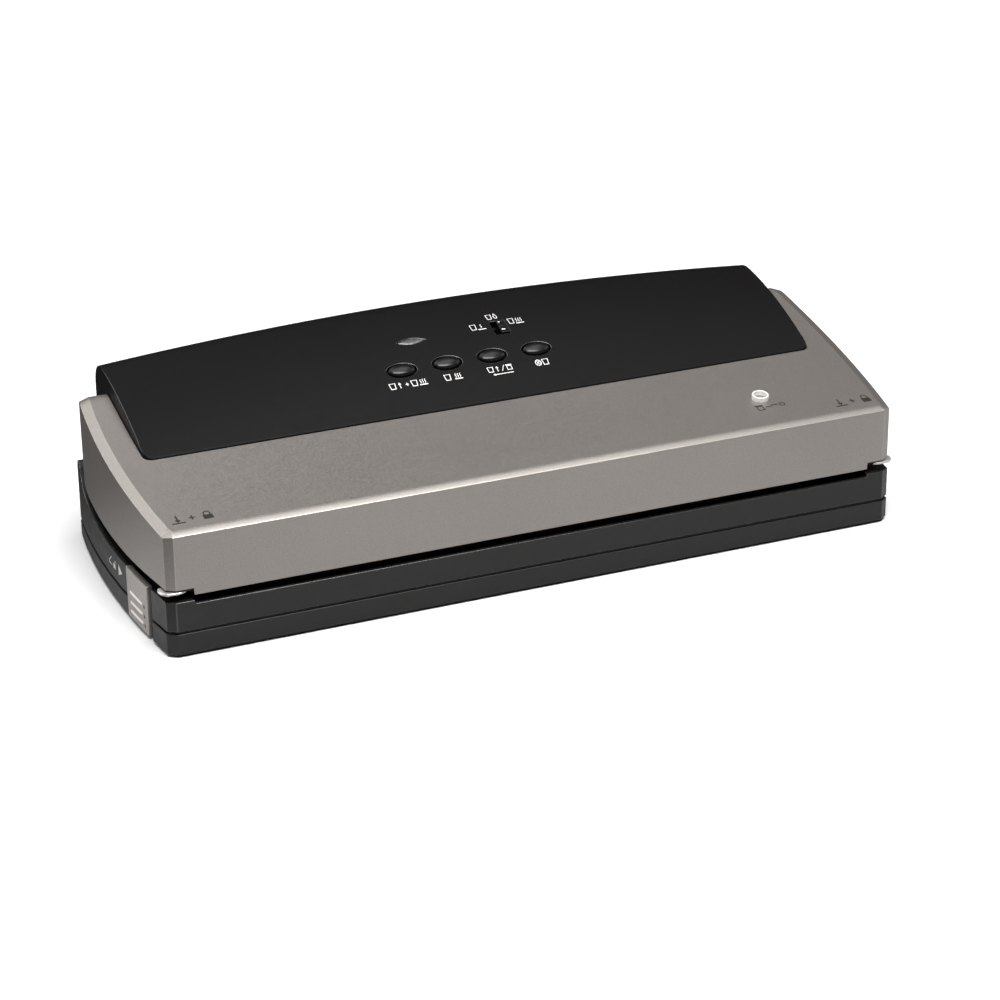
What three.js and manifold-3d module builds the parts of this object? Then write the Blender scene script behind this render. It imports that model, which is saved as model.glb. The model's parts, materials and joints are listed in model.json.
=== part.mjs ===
// Vacuum packing machine: a household edge sealer with a flat base, a hinged
// lid that carries the controls, the pump and the electronics, a heated seal
// bar with a vacuum channel behind it, and a spring-loaded release button in
// each side of the base.
//
// Millimetres. +X to the machine's right, +Y to its back, +Z up. The origin is
// on the table, under the middle of the machine. Shown with the lid closed.
import * as THREE from 'three';
import { mergeVertices } from 'three/addons/utils/BufferGeometryUtils.js';
import Module from 'manifold-3d';

const wasm = await Module();
wasm.setup();

// ---------------------------------------------------------------- dimensions
const FRONT_Y = -82.0;            // front face of the base
const BACK_Y = 82.0;              // rear face of the base
const CHAMFER_X = 193.9;          // front face ends here, then the corner chamfer
const CHAMFER_Y = -78.7;          // chamfer meets the side here
const SIDE_X = 198.4;             // half width where the side starts
const SIDE_CURVE = [14.21, -8.17, -0.374]; // bulge of the side, over SIDE_LEN
const SIDE_LEN = 96.8;
const REAR_R = 11.0;              // rear corner radius of the base
const WALL = 2.2;

const FOOT_R = 7.0, FOOT_H = 2.1;
const PAN_Z = 1.5;                // underside of the pan
const PAN_FLOOR_Z = 4.0;
const SEAM_FRONT_Z = 13.6, SEAM_BACK_Z = 10.6; // seam between pan and housing
const PAN_OFF = 1.0, HOUSING_OFF = 0.8, LID_OFF = 0.3; // outline offsets
const LIP_Z = 27.9;               // top of the front lip
const DECK_Z = 26.5, DECK_T = 2.5;
const POST_X = 185.0, POST_Z = 29.8; // raised corner posts
const REAR_WALL_Z = 34.0;

const HINGE_Y = 70.0, HINGE_Z = 41.0;
const PIN_R = 2.0, PIN_BORE_R = 2.1;
const BARREL_R = 8.5, BARREL_X = 186.0;

const TROUGH_X = 158.0, TROUGH_Y0 = -56.0, TROUGH_Y1 = -14.0, TROUGH_Z = 14.0;
const GASKET_CX = 163.5, GASKET_Y0 = -59.5, GASKET_Y1 = -10.5, GASKET_W = 5.0;
const HEATER_X = 151.0, HEATER_Y0 = -72.0, HEATER_Y1 = -65.0;

const BAND_Y = -81.6, BAND_Z = 64.4;   // front band of the lid, top edge
const BEVEL_Y = -76.8, BEVEL_Z = 66.4; // bright bevel above it
const BAND_BOTTOM_Z = 32.5, NOTCH_Z = 36.1;
const LID_T = 2.0;
const SIDE_BEVEL_W = 5.0, SIDE_BEVEL_H = 1.94;

const PANEL_X = 186.5, PANEL_Y0 = -12.1, PANEL_BACK_Y = 76.0;
const PANEL_CROWN = 8.1, PANEL_T = 2.0;
const PANEL_GAP = 0.4;

const BUTTON_X = [-39.1, -13.8, 11.7, 37.0];
const BUTTON_Y = 14.7;
const BUTTON_A = 7.45, BUTTON_B = 4.35, BUTTON_CLEAR = 0.5;
const LENS_X = -26.8, LENS_Y = 32.75, LENS_A = 8.5, LENS_B = 2.8;
const SLIDER_X = 24.15, SLIDER_Y = 33.15, SLIDER_W = 8.5, SLIDER_L = 10.6;
const PORT_X = 136.4, PORT_Y = -51.1, PORT_R = 4.5, PORT_BORE_R = 2.0, PORT_TOP = 2.7;

const RELEASE_RECESS_Y = -61.6; // front edge of the recess beside each button
const RELEASE_Y0 = -56.8, RELEASE_Y1 = -29.2, RELEASE_Z0 = 1.9, RELEASE_Z1 = 28.9;

// ------------------------------------------------------------------- helpers
const group = new THREE.Group();
group.name = 'vacuum_packing_machine';

function solid(geometry) {
  let g = geometry.clone();
  for (const a of ['normal', 'uv', 'color']) if (g.attributes[a]) g.deleteAttribute(a);
  g = mergeVertices(g, 1e-5);
  const vertProperties = new Float32Array(g.attributes.position.array);
  const triVerts = new Uint32Array(g.index.array);
  return new wasm.Manifold(new wasm.Mesh({ numProp: 3, vertProperties, triVerts }));
}
function toGeometry(man) {
  const mesh = man.getMesh();
  const g = new THREE.BufferGeometry();
  const p = new Float32Array(mesh.numVert * 3);
  for (let i = 0; i < mesh.numVert; i++)
    for (let k = 0; k < 3; k++) p[3 * i + k] = mesh.vertProperties[mesh.numProp * i + k];
  g.setAttribute('position', new THREE.BufferAttribute(p, 3));
  g.setIndex(new THREE.BufferAttribute(new Uint32Array(mesh.triVerts), 1));
  return g;
}
const cut = (a, ...bs) => bs.reduce((m, b) => m.subtract(b), a);
const join = (a, ...bs) => bs.reduce((m, b) => m.add(b), a);

function box(x0, x1, y0, y1, z0, z1) {
  const g = new THREE.BoxGeometry(x1 - x0, y1 - y0, z1 - z0);
  g.translate((x0 + x1) / 2, (y0 + y1) / 2, (z0 + z1) / 2);
  return solid(g);
}
// polygon in XY, extruded along Z
function prismZ(points, z0, z1, holes = []) {
  const s = new THREE.Shape(points.map(([x, y]) => new THREE.Vector2(x, y)));
  for (const h of holes) s.holes.push(new THREE.Path(h.map(([x, y]) => new THREE.Vector2(x, y))));
  const g = new THREE.ExtrudeGeometry(s, { depth: z1 - z0, bevelEnabled: false, steps: 1 });
  g.translate(0, 0, z0);
  return solid(g);
}
// polygon in YZ, extruded along X
function prismX(points, x0, x1) {
  const s = new THREE.Shape(points.map(([y, z]) => new THREE.Vector2(y, z)));
  const g = new THREE.ExtrudeGeometry(s, { depth: x1 - x0, bevelEnabled: false, steps: 1 });
  g.applyMatrix4(new THREE.Matrix4().set(0, 0, 1, x0, 1, 0, 0, 0, 0, 1, 0, 0, 0, 0, 0, 1));
  return solid(g);
}
function cylinder(r, h, seg, r2 = r) {
  const g = new THREE.CylinderGeometry(r2, r, h, seg);
  g.rotateX(Math.PI / 2);
  return g; // axis along Z, centred
}
function cylZ(x, y, z0, z1, r, seg = 24, r2 = r) {
  const g = cylinder(r, z1 - z0, seg, r2);
  g.translate(x, y, (z0 + z1) / 2);
  return solid(g);
}
function cylX(y, z, x0, x1, r, seg = 24) {
  const g = cylinder(r, x1 - x0, seg);
  g.rotateY(Math.PI / 2);
  g.translate((x0 + x1) / 2, y, z);
  return solid(g);
}
function cylY(x, z, y0, y1, r, seg = 24) {
  const g = cylinder(r, y1 - y0, seg);
  g.rotateX(Math.PI / 2);
  g.translate(x, (y0 + y1) / 2, z);
  return solid(g);
}
// closed solid through a list of sections with the same number of points
function loft(sections) {
  const n = sections[0].length, m = sections.length, pos = [], idx = [];
  for (const s of sections) for (const p of s) pos.push(...p);
  for (let i = 0; i + 1 < m; i++)
    for (let j = 0; j < n; j++) {
      const a = i * n + j, b = i * n + (j + 1) % n, c = a + n, d = b + n;
      idx.push(a, b, d, a, d, c);
    }
  const s = sections[0];
  // flat caps: drop the axis along which the sections are stacked
  const dx = Math.abs(sections[m - 1][0][0] - s[0][0]), dy = Math.abs(sections[m - 1][0][1] - s[0][1]);
  const ax = dx > dy ? [1, 2] : [0, 2];
  const cap = (sec) => THREE.ShapeUtils.triangulateShape(sec.map((p) => new THREE.Vector2(p[ax[0]], p[ax[1]])), []);
  for (const [a, b, c] of cap(s)) idx.push(a, b, c);
  const base = (m - 1) * n;
  for (const [a, b, c] of cap(sections[m - 1])) idx.push(base + a, base + c, base + b);
  // make every face agree with its neighbours, then point them outwards
  const edges = new Map();
  for (let t = 0; t < idx.length; t += 3)
    for (let k = 0; k < 3; k++) edges.set(idx[t + k] + '_' + idx[t + (k + 1) % 3], t);
  const sideEdge = (a, b) => edges.has(a + '_' + b);
  const capFaces = cap(s);
  const first = capFaces[0];
  let flip = false;
  for (let k = 0; k < 3; k++) {
    const a = first[k], b = first[(k + 1) % 3];
    if ((a + 1) % n === b || (b + 1) % n === a) {
      // the side wall holds this edge as (j, j+1) in the first section
      flip = (a + 1) % n === b;
      break;
    }
  }
  if (flip) {
    const sideCount = (m - 1) * n * 6;
    for (let t = sideCount; t < idx.length; t += 3) { const q = idx[t]; idx[t] = idx[t + 1]; idx[t + 1] = q; }
  }
  let v = 0;
  const P = (i) => new THREE.Vector3(pos[3 * i], pos[3 * i + 1], pos[3 * i + 2]);
  for (let t = 0; t < idx.length; t += 3) v += P(idx[t]).dot(P(idx[t + 1]).cross(P(idx[t + 2])));
  if (v < 0) for (let t = 0; t < idx.length; t += 3) { const q = idx[t]; idx[t] = idx[t + 1]; idx[t + 1] = q; }
  const g = new THREE.BufferGeometry();
  g.setAttribute('position', new THREE.Float32BufferAttribute(pos, 3));
  g.setIndex(idx);
  return solid(g);
}

const halfWidth = (y) => {
  const u = (y - CHAMFER_Y) / SIDE_LEN;
  return SIDE_X + SIDE_CURVE[0] * u + SIDE_CURVE[1] * u * u + SIDE_CURVE[2] * u * u * u;
};
// plan outline of the machine, pushed out by off and pulled in by inset
function outline(off, inset, yBack = BACK_Y, rearR = REAR_R) {
  const o = off - inset, y0 = FRONT_Y + inset, y1 = yBack - inset, r = Math.max(rearR - inset, 2);
  const right = [[CHAMFER_X + o + inset * 0.4, y0], [SIDE_X + o, CHAMFER_Y + inset * 0.4]];
  for (const y of [-60.5, -40.4, -20.3, 0, 20, 40, 58]) right.push([halfWidth(y) + o, y]);
  const cx = halfWidth(y1 - r) + o - r;
  for (let i = 0; i <= 5; i++) {
    const a = (i / 5) * Math.PI / 2;
    right.push([cx + r * Math.cos(a), y1 - r + r * Math.sin(a)]);
  }
  return right.concat(right.slice().reverse().map(([x, y]) => [-x, y]));
}
const roundRect = (cx, y0, y1, r, n = 4) => {
  const pts = [];
  const corners = [[cx - r, y1 - r, 0], [-cx + r, y1 - r, 1], [-cx + r, y0 + r, 2], [cx - r, y0 + r, 3]];
  for (const [x, y, q] of corners)
    for (let i = 0; i <= n; i++) {
      const a = (q + i / n) * Math.PI / 2;
      pts.push([x + r * Math.cos(a), y + r * Math.sin(a)]);
    }
  return pts;
};

function add(name, man, color, roughness, metalness = 0) {
  const geometry = man.isBufferGeometry ? man : toGeometry(man);
  const mesh = new THREE.Mesh(geometry, new THREE.MeshStandardMaterial({ color, roughness, metalness }));
  mesh.name = name;
  group.add(mesh);
  return mesh;
}
const mirrorX = (man) => man.mirror([1, 0, 0]);

// ---------------------------------------------------------------- base shells
const SEAM_SLOPE = (SEAM_BACK_Z - SEAM_FRONT_Z) / (BACK_Y - FRONT_Y);
const seamZ = (y) => SEAM_FRONT_Z + SEAM_SLOPE * (y - FRONT_Y);
const seamBelow = (dz) => prismX([[-95, seamZ(-95) + dz], [-95, 80], [95, 80], [95, seamZ(95) + dz]], -230, 230);
const seamAbove = (dz) => prismX([[-95, -10], [-95, seamZ(-95) + dz], [95, seamZ(95) + dz], [95, -10]], -230, 230);

const FEET = { front_left: [-182, -66], front_right: [182, -66], rear_left: [-176, 62], rear_right: [176, 62] };
const PAN_SCREWS = { front_left: [-166, -68], front_right: [166, -68], rear_left: [-150, 62], rear_right: [150, 62] };

// opening in both shells for the release buttons, with room for their travel
const releaseNotch = (s) => {
  const n = join(box(195.3, 212, RELEASE_Y0 - 0.5, RELEASE_Y1 + 0.5, -1, 40), box(197.8, 212, RELEASE_RECESS_Y, RELEASE_Y0, -1, 40));
  return s < 0 ? mirrorX(n) : n;
};
// backing of the shallow recess in front of each button
const recessBacking = (s, z0, z1) => (s < 0 ? box(-198.6, -193, -67.5, RELEASE_Y0 - 0.3, z0, z1) : box(193, 198.6, -67.5, RELEASE_Y0 - 0.3, z0, z1));

{
  let pan = prismZ(outline(PAN_OFF, 0), PAN_Z, 20);
  pan = cut(pan, prismZ(outline(PAN_OFF, WALL), PAN_FLOOR_Z, 30));
  pan = cut(pan, seamBelow(0));
  pan = join(pan, cut(recessBacking(-1, 3, 20), seamBelow(0)), cut(recessBacking(1, 3, 20), seamBelow(0)));
  // rails that carry the latch catches
  for (const s of [-1, 1])
    for (const y of [-51.5, -31.5]) {
      const x0 = s < 0 ? -194.5 : 174;
      pan = join(pan, box(x0, x0 + 20.5, y, y + 3, PAN_FLOOR_Z - 1, 18.6));
    }
  for (const [x, y] of Object.values(PAN_SCREWS)) pan = join(pan, cylZ(x, y, PAN_FLOOR_Z - 1, 6.4, 5.2, 14));
  for (const [x, y] of Object.values(PAN_SCREWS))
    pan = cut(pan, cylZ(x, y, 0, 4.4, 3.4, 14), cylZ(x, y, 4, 8, 1.7, 10));
  for (const [x, y] of Object.values(FEET)) pan = cut(pan, cylZ(x, y, 0, FOOT_H + 0.3, FOOT_R + 0.4, 20));
  pan = cut(pan, releaseNotch(-1), releaseNotch(1));
  // vent slots under the rear
  for (let i = -3; i <= 3; i++) pan = cut(pan, box(i * 12 - 2, i * 12 + 2, 30, 52, 0, 8));
  add('base_lower_pan', pan, 0x2b2928, 0.55);
}

// side view of the rim, from front to back, with the ear around the hinge
const RIM = [[-95, POST_Z], [-68, 29.6], [-50, 29.2], [-30, 28.7], [0, 28.4], [18, 29.1], [40, 30.5], [52, 32.4],
  [58, 35.0], [61.6, 37.8], [64.2, 40.6], [65.4, 42.9], [67.4, 44.9], [70, 45.6], [72.4, 44.9], [74.0, 42.9],
  [74.8, 40.2], [75.6, 36], [77.0, REAR_WALL_Z], [95, REAR_WALL_Z]];
{
  const inner = outline(HOUSING_OFF, WALL + 0.2);
  let h = prismZ(outline(HOUSING_OFF, 0), 5, 60);
  h = cut(h, prismZ(inner, 0, DECK_Z - DECK_T));
  h = cut(h, prismZ(inner, DECK_Z, 70));
  // hinge ears and corner posts stand inboard of the wall
  const ear = prismX([[56, 20], [56, 34], ...RIM.slice(8, 18), [78, 20]], 188, 199);
  h = join(h, ear, mirrorX(ear));
  const post = prismZ([[POST_X, FRONT_Y + 0.5], [CHAMFER_X, FRONT_Y + 0.5], [SIDE_X, CHAMFER_Y + 0.5], [199.0, -66], [POST_X, -66]], 20, 60);
  h = join(h, post, mirrorX(post));
  // trough for the drip tray
  h = join(h, box(-TROUGH_X - 2, TROUGH_X + 2, TROUGH_Y0 - 2, TROUGH_Y1 + 2, TROUGH_Z - 2, DECK_Z - 1));
  h = cut(h, box(-TROUGH_X, TROUGH_X, TROUGH_Y0, TROUGH_Y1, TROUGH_Z, 80));
  // pocket for the heater bar, open below for its leads
  h = join(h, box(-HEATER_X - 3, HEATER_X + 3, HEATER_Y0 - 2.2, HEATER_Y1 + 2.2, 18, DECK_Z - 1));
  h = cut(h, box(-HEATER_X - 1.3, HEATER_X + 1.3, HEATER_Y0 - 0.4, HEATER_Y1 + 0.4, 19.5, 80));
  h = cut(h, box(-146, -138, HEATER_Y0 + 1, HEATER_Y1 - 1, 10, 30), box(138, 146, HEATER_Y0 + 1, HEATER_Y1 - 1, 10, 30));
  // screw bosses
  for (const [x, y] of Object.values(PAN_SCREWS)) h = join(h, cylZ(x, y, 7, DECK_Z - 1, 4.2, 14));
  for (const [x, y] of Object.values(PAN_SCREWS)) h = cut(h, cylZ(x, y, 0, 21, 1.7, 10));
  h = join(h, recessBacking(-1, 5, DECK_Z - 0.5), recessBacking(1, 5, DECK_Z - 0.5));
  // boss behind the cord gland
  h = join(h, box(112, 132, 75.5, 80.5, 13, 25.5));
  // tops
  h = cut(h, prismX([...RIM, [95, 90], [-95, 90]], POST_X, 230), prismX([...RIM, [95, 90], [-95, 90]], -230, -POST_X));
  h = cut(h, prismX([[-95, LIP_Z], [60, LIP_Z], [60, REAR_WALL_Z], [95, REAR_WALL_Z], [95, 90], [-95, 90]], -POST_X, POST_X));
  // posts and wall must stop short of the lid's corners; ears stay clear of the barrel
  h = cut(h, cylX(HINGE_Y, HINGE_Z, -187, 187, BARREL_R + 0.8, 32));
  // release buttons, hook slots, switch windows, gland, hinge bores
  h = cut(h, releaseNotch(-1), releaseNotch(1));
  for (const s of [-1, 1]) {
    const x0 = s < 0 ? -191.8 : 183.3;
    h = cut(h, box(x0, x0 + 8.5, -47, -34, 15, 40));
    const w0 = s < 0 ? -178.5 : 172.5;
    h = cut(h, box(w0, w0 + 6, -3, 3, 20, 40));
  }
  h = cut(h, cylY(122, 18.8, 70, 90, 4.2, 24), cylY(122, 18.8, 80.4, 90, 6.2, 28));
  h = cut(h, cylX(HINGE_Y, HINGE_Z, 180, 197.3, PIN_BORE_R, 24), cylX(HINGE_Y, HINGE_Z, -197.3, -180, PIN_BORE_R, 24));
  h = cut(h, seamAbove(0.3));
  add('base_upper_housing', h, 0x2d2b2a, 0.5);
}

for (const [k, [x, y]] of Object.entries(FEET)) add('foot_' + k, cylZ(x, y, 0, FOOT_H, FOOT_R, 20), 0x171717, 0.9);
for (const [k, [x, y]] of Object.entries(PAN_SCREWS)) {
  let s = join(cylZ(x, y, 2.0, 4.0, 3.0, 14), cylZ(x, y, 3.5, 20.5, 1.35, 10));
  s = cut(s, box(x - 2, x + 2, y - 0.35, y + 0.35, 1, 2.9), box(x - 0.35, x + 0.35, y - 2, y + 2, 1, 2.9));
  add('pan_screw_' + k, s, 0x9a9a98, 0.35, 1);
}

// drip tray: lifts out of the trough with the lid open
{
  const c = 0.5;
  let t = box(-TROUGH_X + c, TROUGH_X - c, TROUGH_Y0 + c, TROUGH_Y1 - c, TROUGH_Z + 0.4, 26.2);
  t = cut(t, box(-TROUGH_X + c + 1.8, TROUGH_X - c - 1.8, TROUGH_Y0 + c + 1.8, TROUGH_Y1 - c - 1.8, TROUGH_Z + 2.2, 40));
  // finger tabs at both ends
  t = join(t, box(-TROUGH_X + c, -TROUGH_X + 12, -39, -31, 24.6, 26.2), box(TROUGH_X - 12, TROUGH_X - c, -39, -31, 24.6, 26.2));
  add('drip_tray', t, 0x3a3838, 0.35);
}
const gasketRing = (z0, z1) => {
  const o = roundRect(GASKET_CX + GASKET_W / 2, GASKET_Y0 - GASKET_W / 2 + 2.5, GASKET_Y1 + GASKET_W / 2, 12);
  const i = roundRect(GASKET_CX - GASKET_W / 2, GASKET_Y0 + GASKET_W / 2 + 2.5, GASKET_Y1 - GASKET_W / 2, 7.5);
  return prismZ(o, z0, z1, [i]);
};
add('lower_gasket', gasketRing(DECK_Z + 0.3, 30.3), 0x1d1d1f, 0.95);

add('heater_bar_support', box(-HEATER_X - 0.9, HEATER_X + 0.9, HEATER_Y0, HEATER_Y1, 19.8, 28.0), 0x4a3a2c, 0.8);
add('heater_element', box(-HEATER_X + 2, HEATER_X - 2, HEATER_Y0 + 1.5, HEATER_Y1 - 1.5, 28.3, 28.7), 0xb8b4ac, 0.3, 1);
add('ptfe_tape', box(-HEATER_X, HEATER_X, HEATER_Y0 - 1.5, HEATER_Y1 + 1.0, 29.0, 29.3), 0x8a6a48, 0.6);

// cord gland: a flanged bush in the rear wall
{
  let g = join(cylY(122, 18.8, 80.7, BACK_Y, 5.8, 24), cylY(122, 18.8, 73, 81.5, 3.9, 20), cylY(122, 18.8, 73, 75.1, 4.9, 20));
  g = cut(g, cylY(122, 18.8, 60, 90, 2.9, 16));
  add('cord_gland', g, 0x1a1a1a, 0.7);
}
// hinge pins, held in the ears
add('hinge_pin_right', cylX(HINGE_Y, HINGE_Z, 180.4, 197, PIN_R, 24), 0xb0b0b0, 0.25, 1);
add('hinge_pin_left', cylX(HINGE_Y, HINGE_Z, -197, -180.4, PIN_R, 24), 0xb0b0b0, 0.25, 1);

// lid position switches: a body on the pan with a plunger through the deck
for (const [side, s] of [['left', -1], ['right', 1]]) {
  const x = 175.5 * s;
  let w = box(x - 3.2, x + 3.2, -10, 10, PAN_FLOOR_Z + 0.3, 20.5);
  w = join(w, box(x - 1.6, x + 1.6, -1.8, 1.8, 20, 28.4));
  w = join(w, box(x - 4.5, x + 4.5, -14, 14, PAN_FLOOR_Z + 0.3, 7));
  add('lid_switch_' + side, w, 0x7a2f2a, 0.5);
}

// ------------------------------------------------- release buttons and latches
{
  const ys = [RELEASE_Y0, -49.9, -43, -36.1, RELEASE_Y1];
  const outer = ys.map((y) => [halfWidth(y) + 1.15, y]);
  const innerPts = ys.slice().reverse().map((y) => [halfWidth(y) - 2.2, y]);
  let b = prismZ(outer.concat(innerPts), RELEASE_Z0, RELEASE_Z1);
  for (const z of [16.8, 11.4, 6.4]) {
    const g = prismZ([-50.5, -46, -42, -38, -33.5].map((y) => [halfWidth(y) + 3, y])
      .concat([-33.5, -38, -42, -46, -50.5].map((y) => [halfWidth(y) + 0.45, y])), z - 0.4, z + 0.4);
    b = cut(b, g);
  }
  add('release_button_right', b, 0x8c8782, 0.4, 0.6);
  add('release_button_left', mirrorX(b), 0x8c8782, 0.4, 0.6);

  // catch plate: the lid's hook drops through its window and snaps under the edge
  let c = box(174, 198.0, -51, -30.5, 18.9, 21.4);
  c = cut(c, box(186.8, 193.6, -46.8, -33.2, 10, 30));
  c = join(c, box(174, 176, -46, -34, 12.5, 23.4), box(196.2, 198.0, -47.5, -32.5, 14, 23.4));
  add('latch_catch_right', c, 0x3c3a39, 0.5);
  add('latch_catch_left', mirrorX(c), 0x3c3a39, 0.5);
}
function helix(turns, r, length, wire, steps, sides) {
  class Helix extends THREE.Curve {
    getPoint(t, target = new THREE.Vector3()) {
      const a = t * turns * 2 * Math.PI;
      return target.set(t * length, r * Math.cos(a), r * Math.sin(a));
    }
  }
  const ring = [];
  for (let i = 0; i < sides; i++) ring.push(new THREE.Vector2(wire * Math.cos(2 * Math.PI * i / sides), wire * Math.sin(2 * Math.PI * i / sides)));
  return new THREE.ExtrudeGeometry(new THREE.Shape(ring), { steps, bevelEnabled: false, extrudePath: new Helix() });
}
{
  const g = helix(5, 2.9, 12.0, 0.4, 40, 4);
  g.translate(161.2, -40, 18.0);
  add('release_spring_right', solid(g), 0xb9b9b9, 0.3, 1);
  const g2 = helix(5, 2.9, 12.0, 0.4, 40, 4);
  g2.translate(-173.2, -40, 18.0);
  add('release_spring_left', solid(g2), 0xb9b9b9, 0.3, 1);
}

// ------------------------------------------------------------------------ lid
const k = 0.9679;
const sideTopZ = (y) => {
  const u = (y - CHAMFER_Y) / k / 100;
  return k * (64.44 + 12.97 * u + 1.55 * u * u + 1.05 * u * u * u) + 1.5;
};
// stations of the lid from front to back: [y, half width, side edge z, top z]
function lidStations(inset) {
  const st = [];
  const top = LID_T * (inset / LID_T);
  st.push([BAND_Y + inset, CHAMFER_X + LID_OFF - inset * 0.6, BAND_Z - top, BAND_Z - top + 0.01]);
  st.push([CHAMFER_Y + inset * 0.6, SIDE_X + LID_OFF - inset, 65.0 - top, 65.6 - top]);
  st.push([BEVEL_Y + inset * 0.6, halfWidth(BEVEL_Y) + LID_OFF - inset, 64.6 - top, BEVEL_Z - top]);
  for (const y of [-60.5, -40.4, -20.3, 0, 20, 34, 45]) {
    const z = sideTopZ(y);
    st.push([y, halfWidth(y) + LID_OFF - inset, z - top, z + SIDE_BEVEL_H - top]);
  }
  const tail = [[50, 85.3], [54, 84.5], [58, 83.0], [61.5, 80.8], [65.2, 77.4], [67.6, 74.2]];
  for (const [y, z] of tail) st.push([y - inset * 0.7, halfWidth(y) + LID_OFF - inset - Math.max(0, (y - 60) * 0.25), z - top, z + (y < 60 ? 1.2 : 0.6) - top]);
  return st;
}
function lidSolid(inset, bottom) {
  const secs = lidStations(inset).map(([y, hw, zs, zt]) => [
    [-hw, y, bottom], [-hw, y, zs], [-hw + SIDE_BEVEL_W, y, zt], [hw - SIDE_BEVEL_W, y, zt], [hw, y, zs], [hw, y, bottom]]);
  // upright tail of the wings
  const [, hw] = lidStations(inset)[lidStations(inset).length - 1];
  const y = 70.4 - inset, h = hw - 0.8;
  secs.push([[-h, y, bottom], [-h, y, 66 - inset], [-h + SIDE_BEVEL_W, y, 66.4 - inset], [h - SIDE_BEVEL_W, y, 66.4 - inset], [h, y, 66 - inset], [h, y, bottom]]);
  return loft(secs);
}
// panel: height at the ends, then the crown
const panelZ = (x, y) => {
  const u = (y - PANEL_Y0) / k / 100, um = 0.7925;
  const z = k * (77.08 + 48.69 * u - 24.25 * u * u) + 1.5;
  return z + PANEL_CROWN * Math.min(1, u / um) * (1 - (x / PANEL_X) ** 2);
};
function panelSection(x, inset, bottom, grow = 0) {
  const ax = Math.abs(x);
  const r = Math.max(0, ax - 181.5);
  const y0 = PANEL_Y0 + inset - grow + (r > 0 ? 5 - Math.sqrt(Math.max(0, 25 - Math.min(r, 5) ** 2)) : 0) * 0.9;
  const crown = PANEL_CROWN * (1 - (Math.min(ax, PANEL_X) / PANEL_X) ** 2);
  const pts = [[x, y0, bottom], [x, y0, panelZ(x, y0) - inset]];
  for (const y of [4, 20, 36, 51]) pts.push([x, y, panelZ(x, y) - inset]);
  const back = [[63.5, 98.5], [67.2, 98.2], [70.8, 95.7], [74.1, 91.5], [75.9, 86.5], [PANEL_BACK_Y, 80]];
  for (const [y, z] of back) pts.push([x, y - inset + grow, (y > PANEL_BACK_Y - 0.05 ? z : z + crown) - inset * 0.8]);
  pts.push([x, PANEL_BACK_Y - inset + grow, bottom]);
  return pts;
}
function panelSolid(inset, bottom, grow = 0) {
  const e = PANEL_X - inset + grow;
  const xs = [-e, -e + 2, -180, -145, -100, -50, 0, 50, 100, 145, 180, e - 2, e];
  if (inset > 0) { xs[1] = -e + 1; xs[11] = e - 1; }
  return loft(xs.map((x) => panelSection(x, inset, bottom, grow)));
}
// local frame on the panel: origin on its surface, u across, v up the slope
function panelFrame(x, y) {
  const d = 1.0;
  const zx = (panelZ(x + d, y) - panelZ(x - d, y)) / (2 * d), zy = (panelZ(x, y + d) - panelZ(x, y - d)) / (2 * d);
  const n = new THREE.Vector3(-zx, -zy, 1).normalize();
  const u = new THREE.Vector3(1, 0, zx).normalize();
  const v = new THREE.Vector3().crossVectors(n, u);
  const m = new THREE.Matrix4().makeBasis(u, v, n);
  m.setPosition(x, y, panelZ(x, y));
  return m;
}
const ROW = panelFrame(0, BUTTON_Y); // plane of the control board's row of keys
function ellipse(a, b, n = 20) {
  const p = [];
  for (let i = 0; i < n; i++) p.push([a * Math.cos(2 * Math.PI * i / n), b * Math.sin(2 * Math.PI * i / n)]);
  return p;
}
function almond(a, b, n = 7) {
  const p = [];
  for (let i = 0; i <= n; i++) { const t = -1 + 2 * i / n; p.push([a * t, -b * (1 - t * t)]); }
  for (let i = n - 1; i > 0; i--) { const t = -1 + 2 * i / n; p.push([a * t, b * (1 - t * t)]); }
  return p;
}
const at = (m, man) => {
  const g = toGeometry(man);
  g.applyMatrix4(m);
  return solid(g);
};
const buttonFrames = BUTTON_X.map((x) => { const m = ROW.clone(); m.setPosition(x, BUTTON_Y, panelZ(x, BUTTON_Y)); return m; });
const lensFrame = panelFrame(LENS_X, LENS_Y), sliderFrame = panelFrame(SLIDER_X, SLIDER_Y);
const portSlope = Math.atan2(sideTopZ(PORT_Y + 1) - sideTopZ(PORT_Y - 1), 2);
const portFrame = new THREE.Matrix4().makeRotationX(portSlope).setPosition(PORT_X, PORT_Y, sideTopZ(PORT_Y) + SIDE_BEVEL_H);

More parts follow.
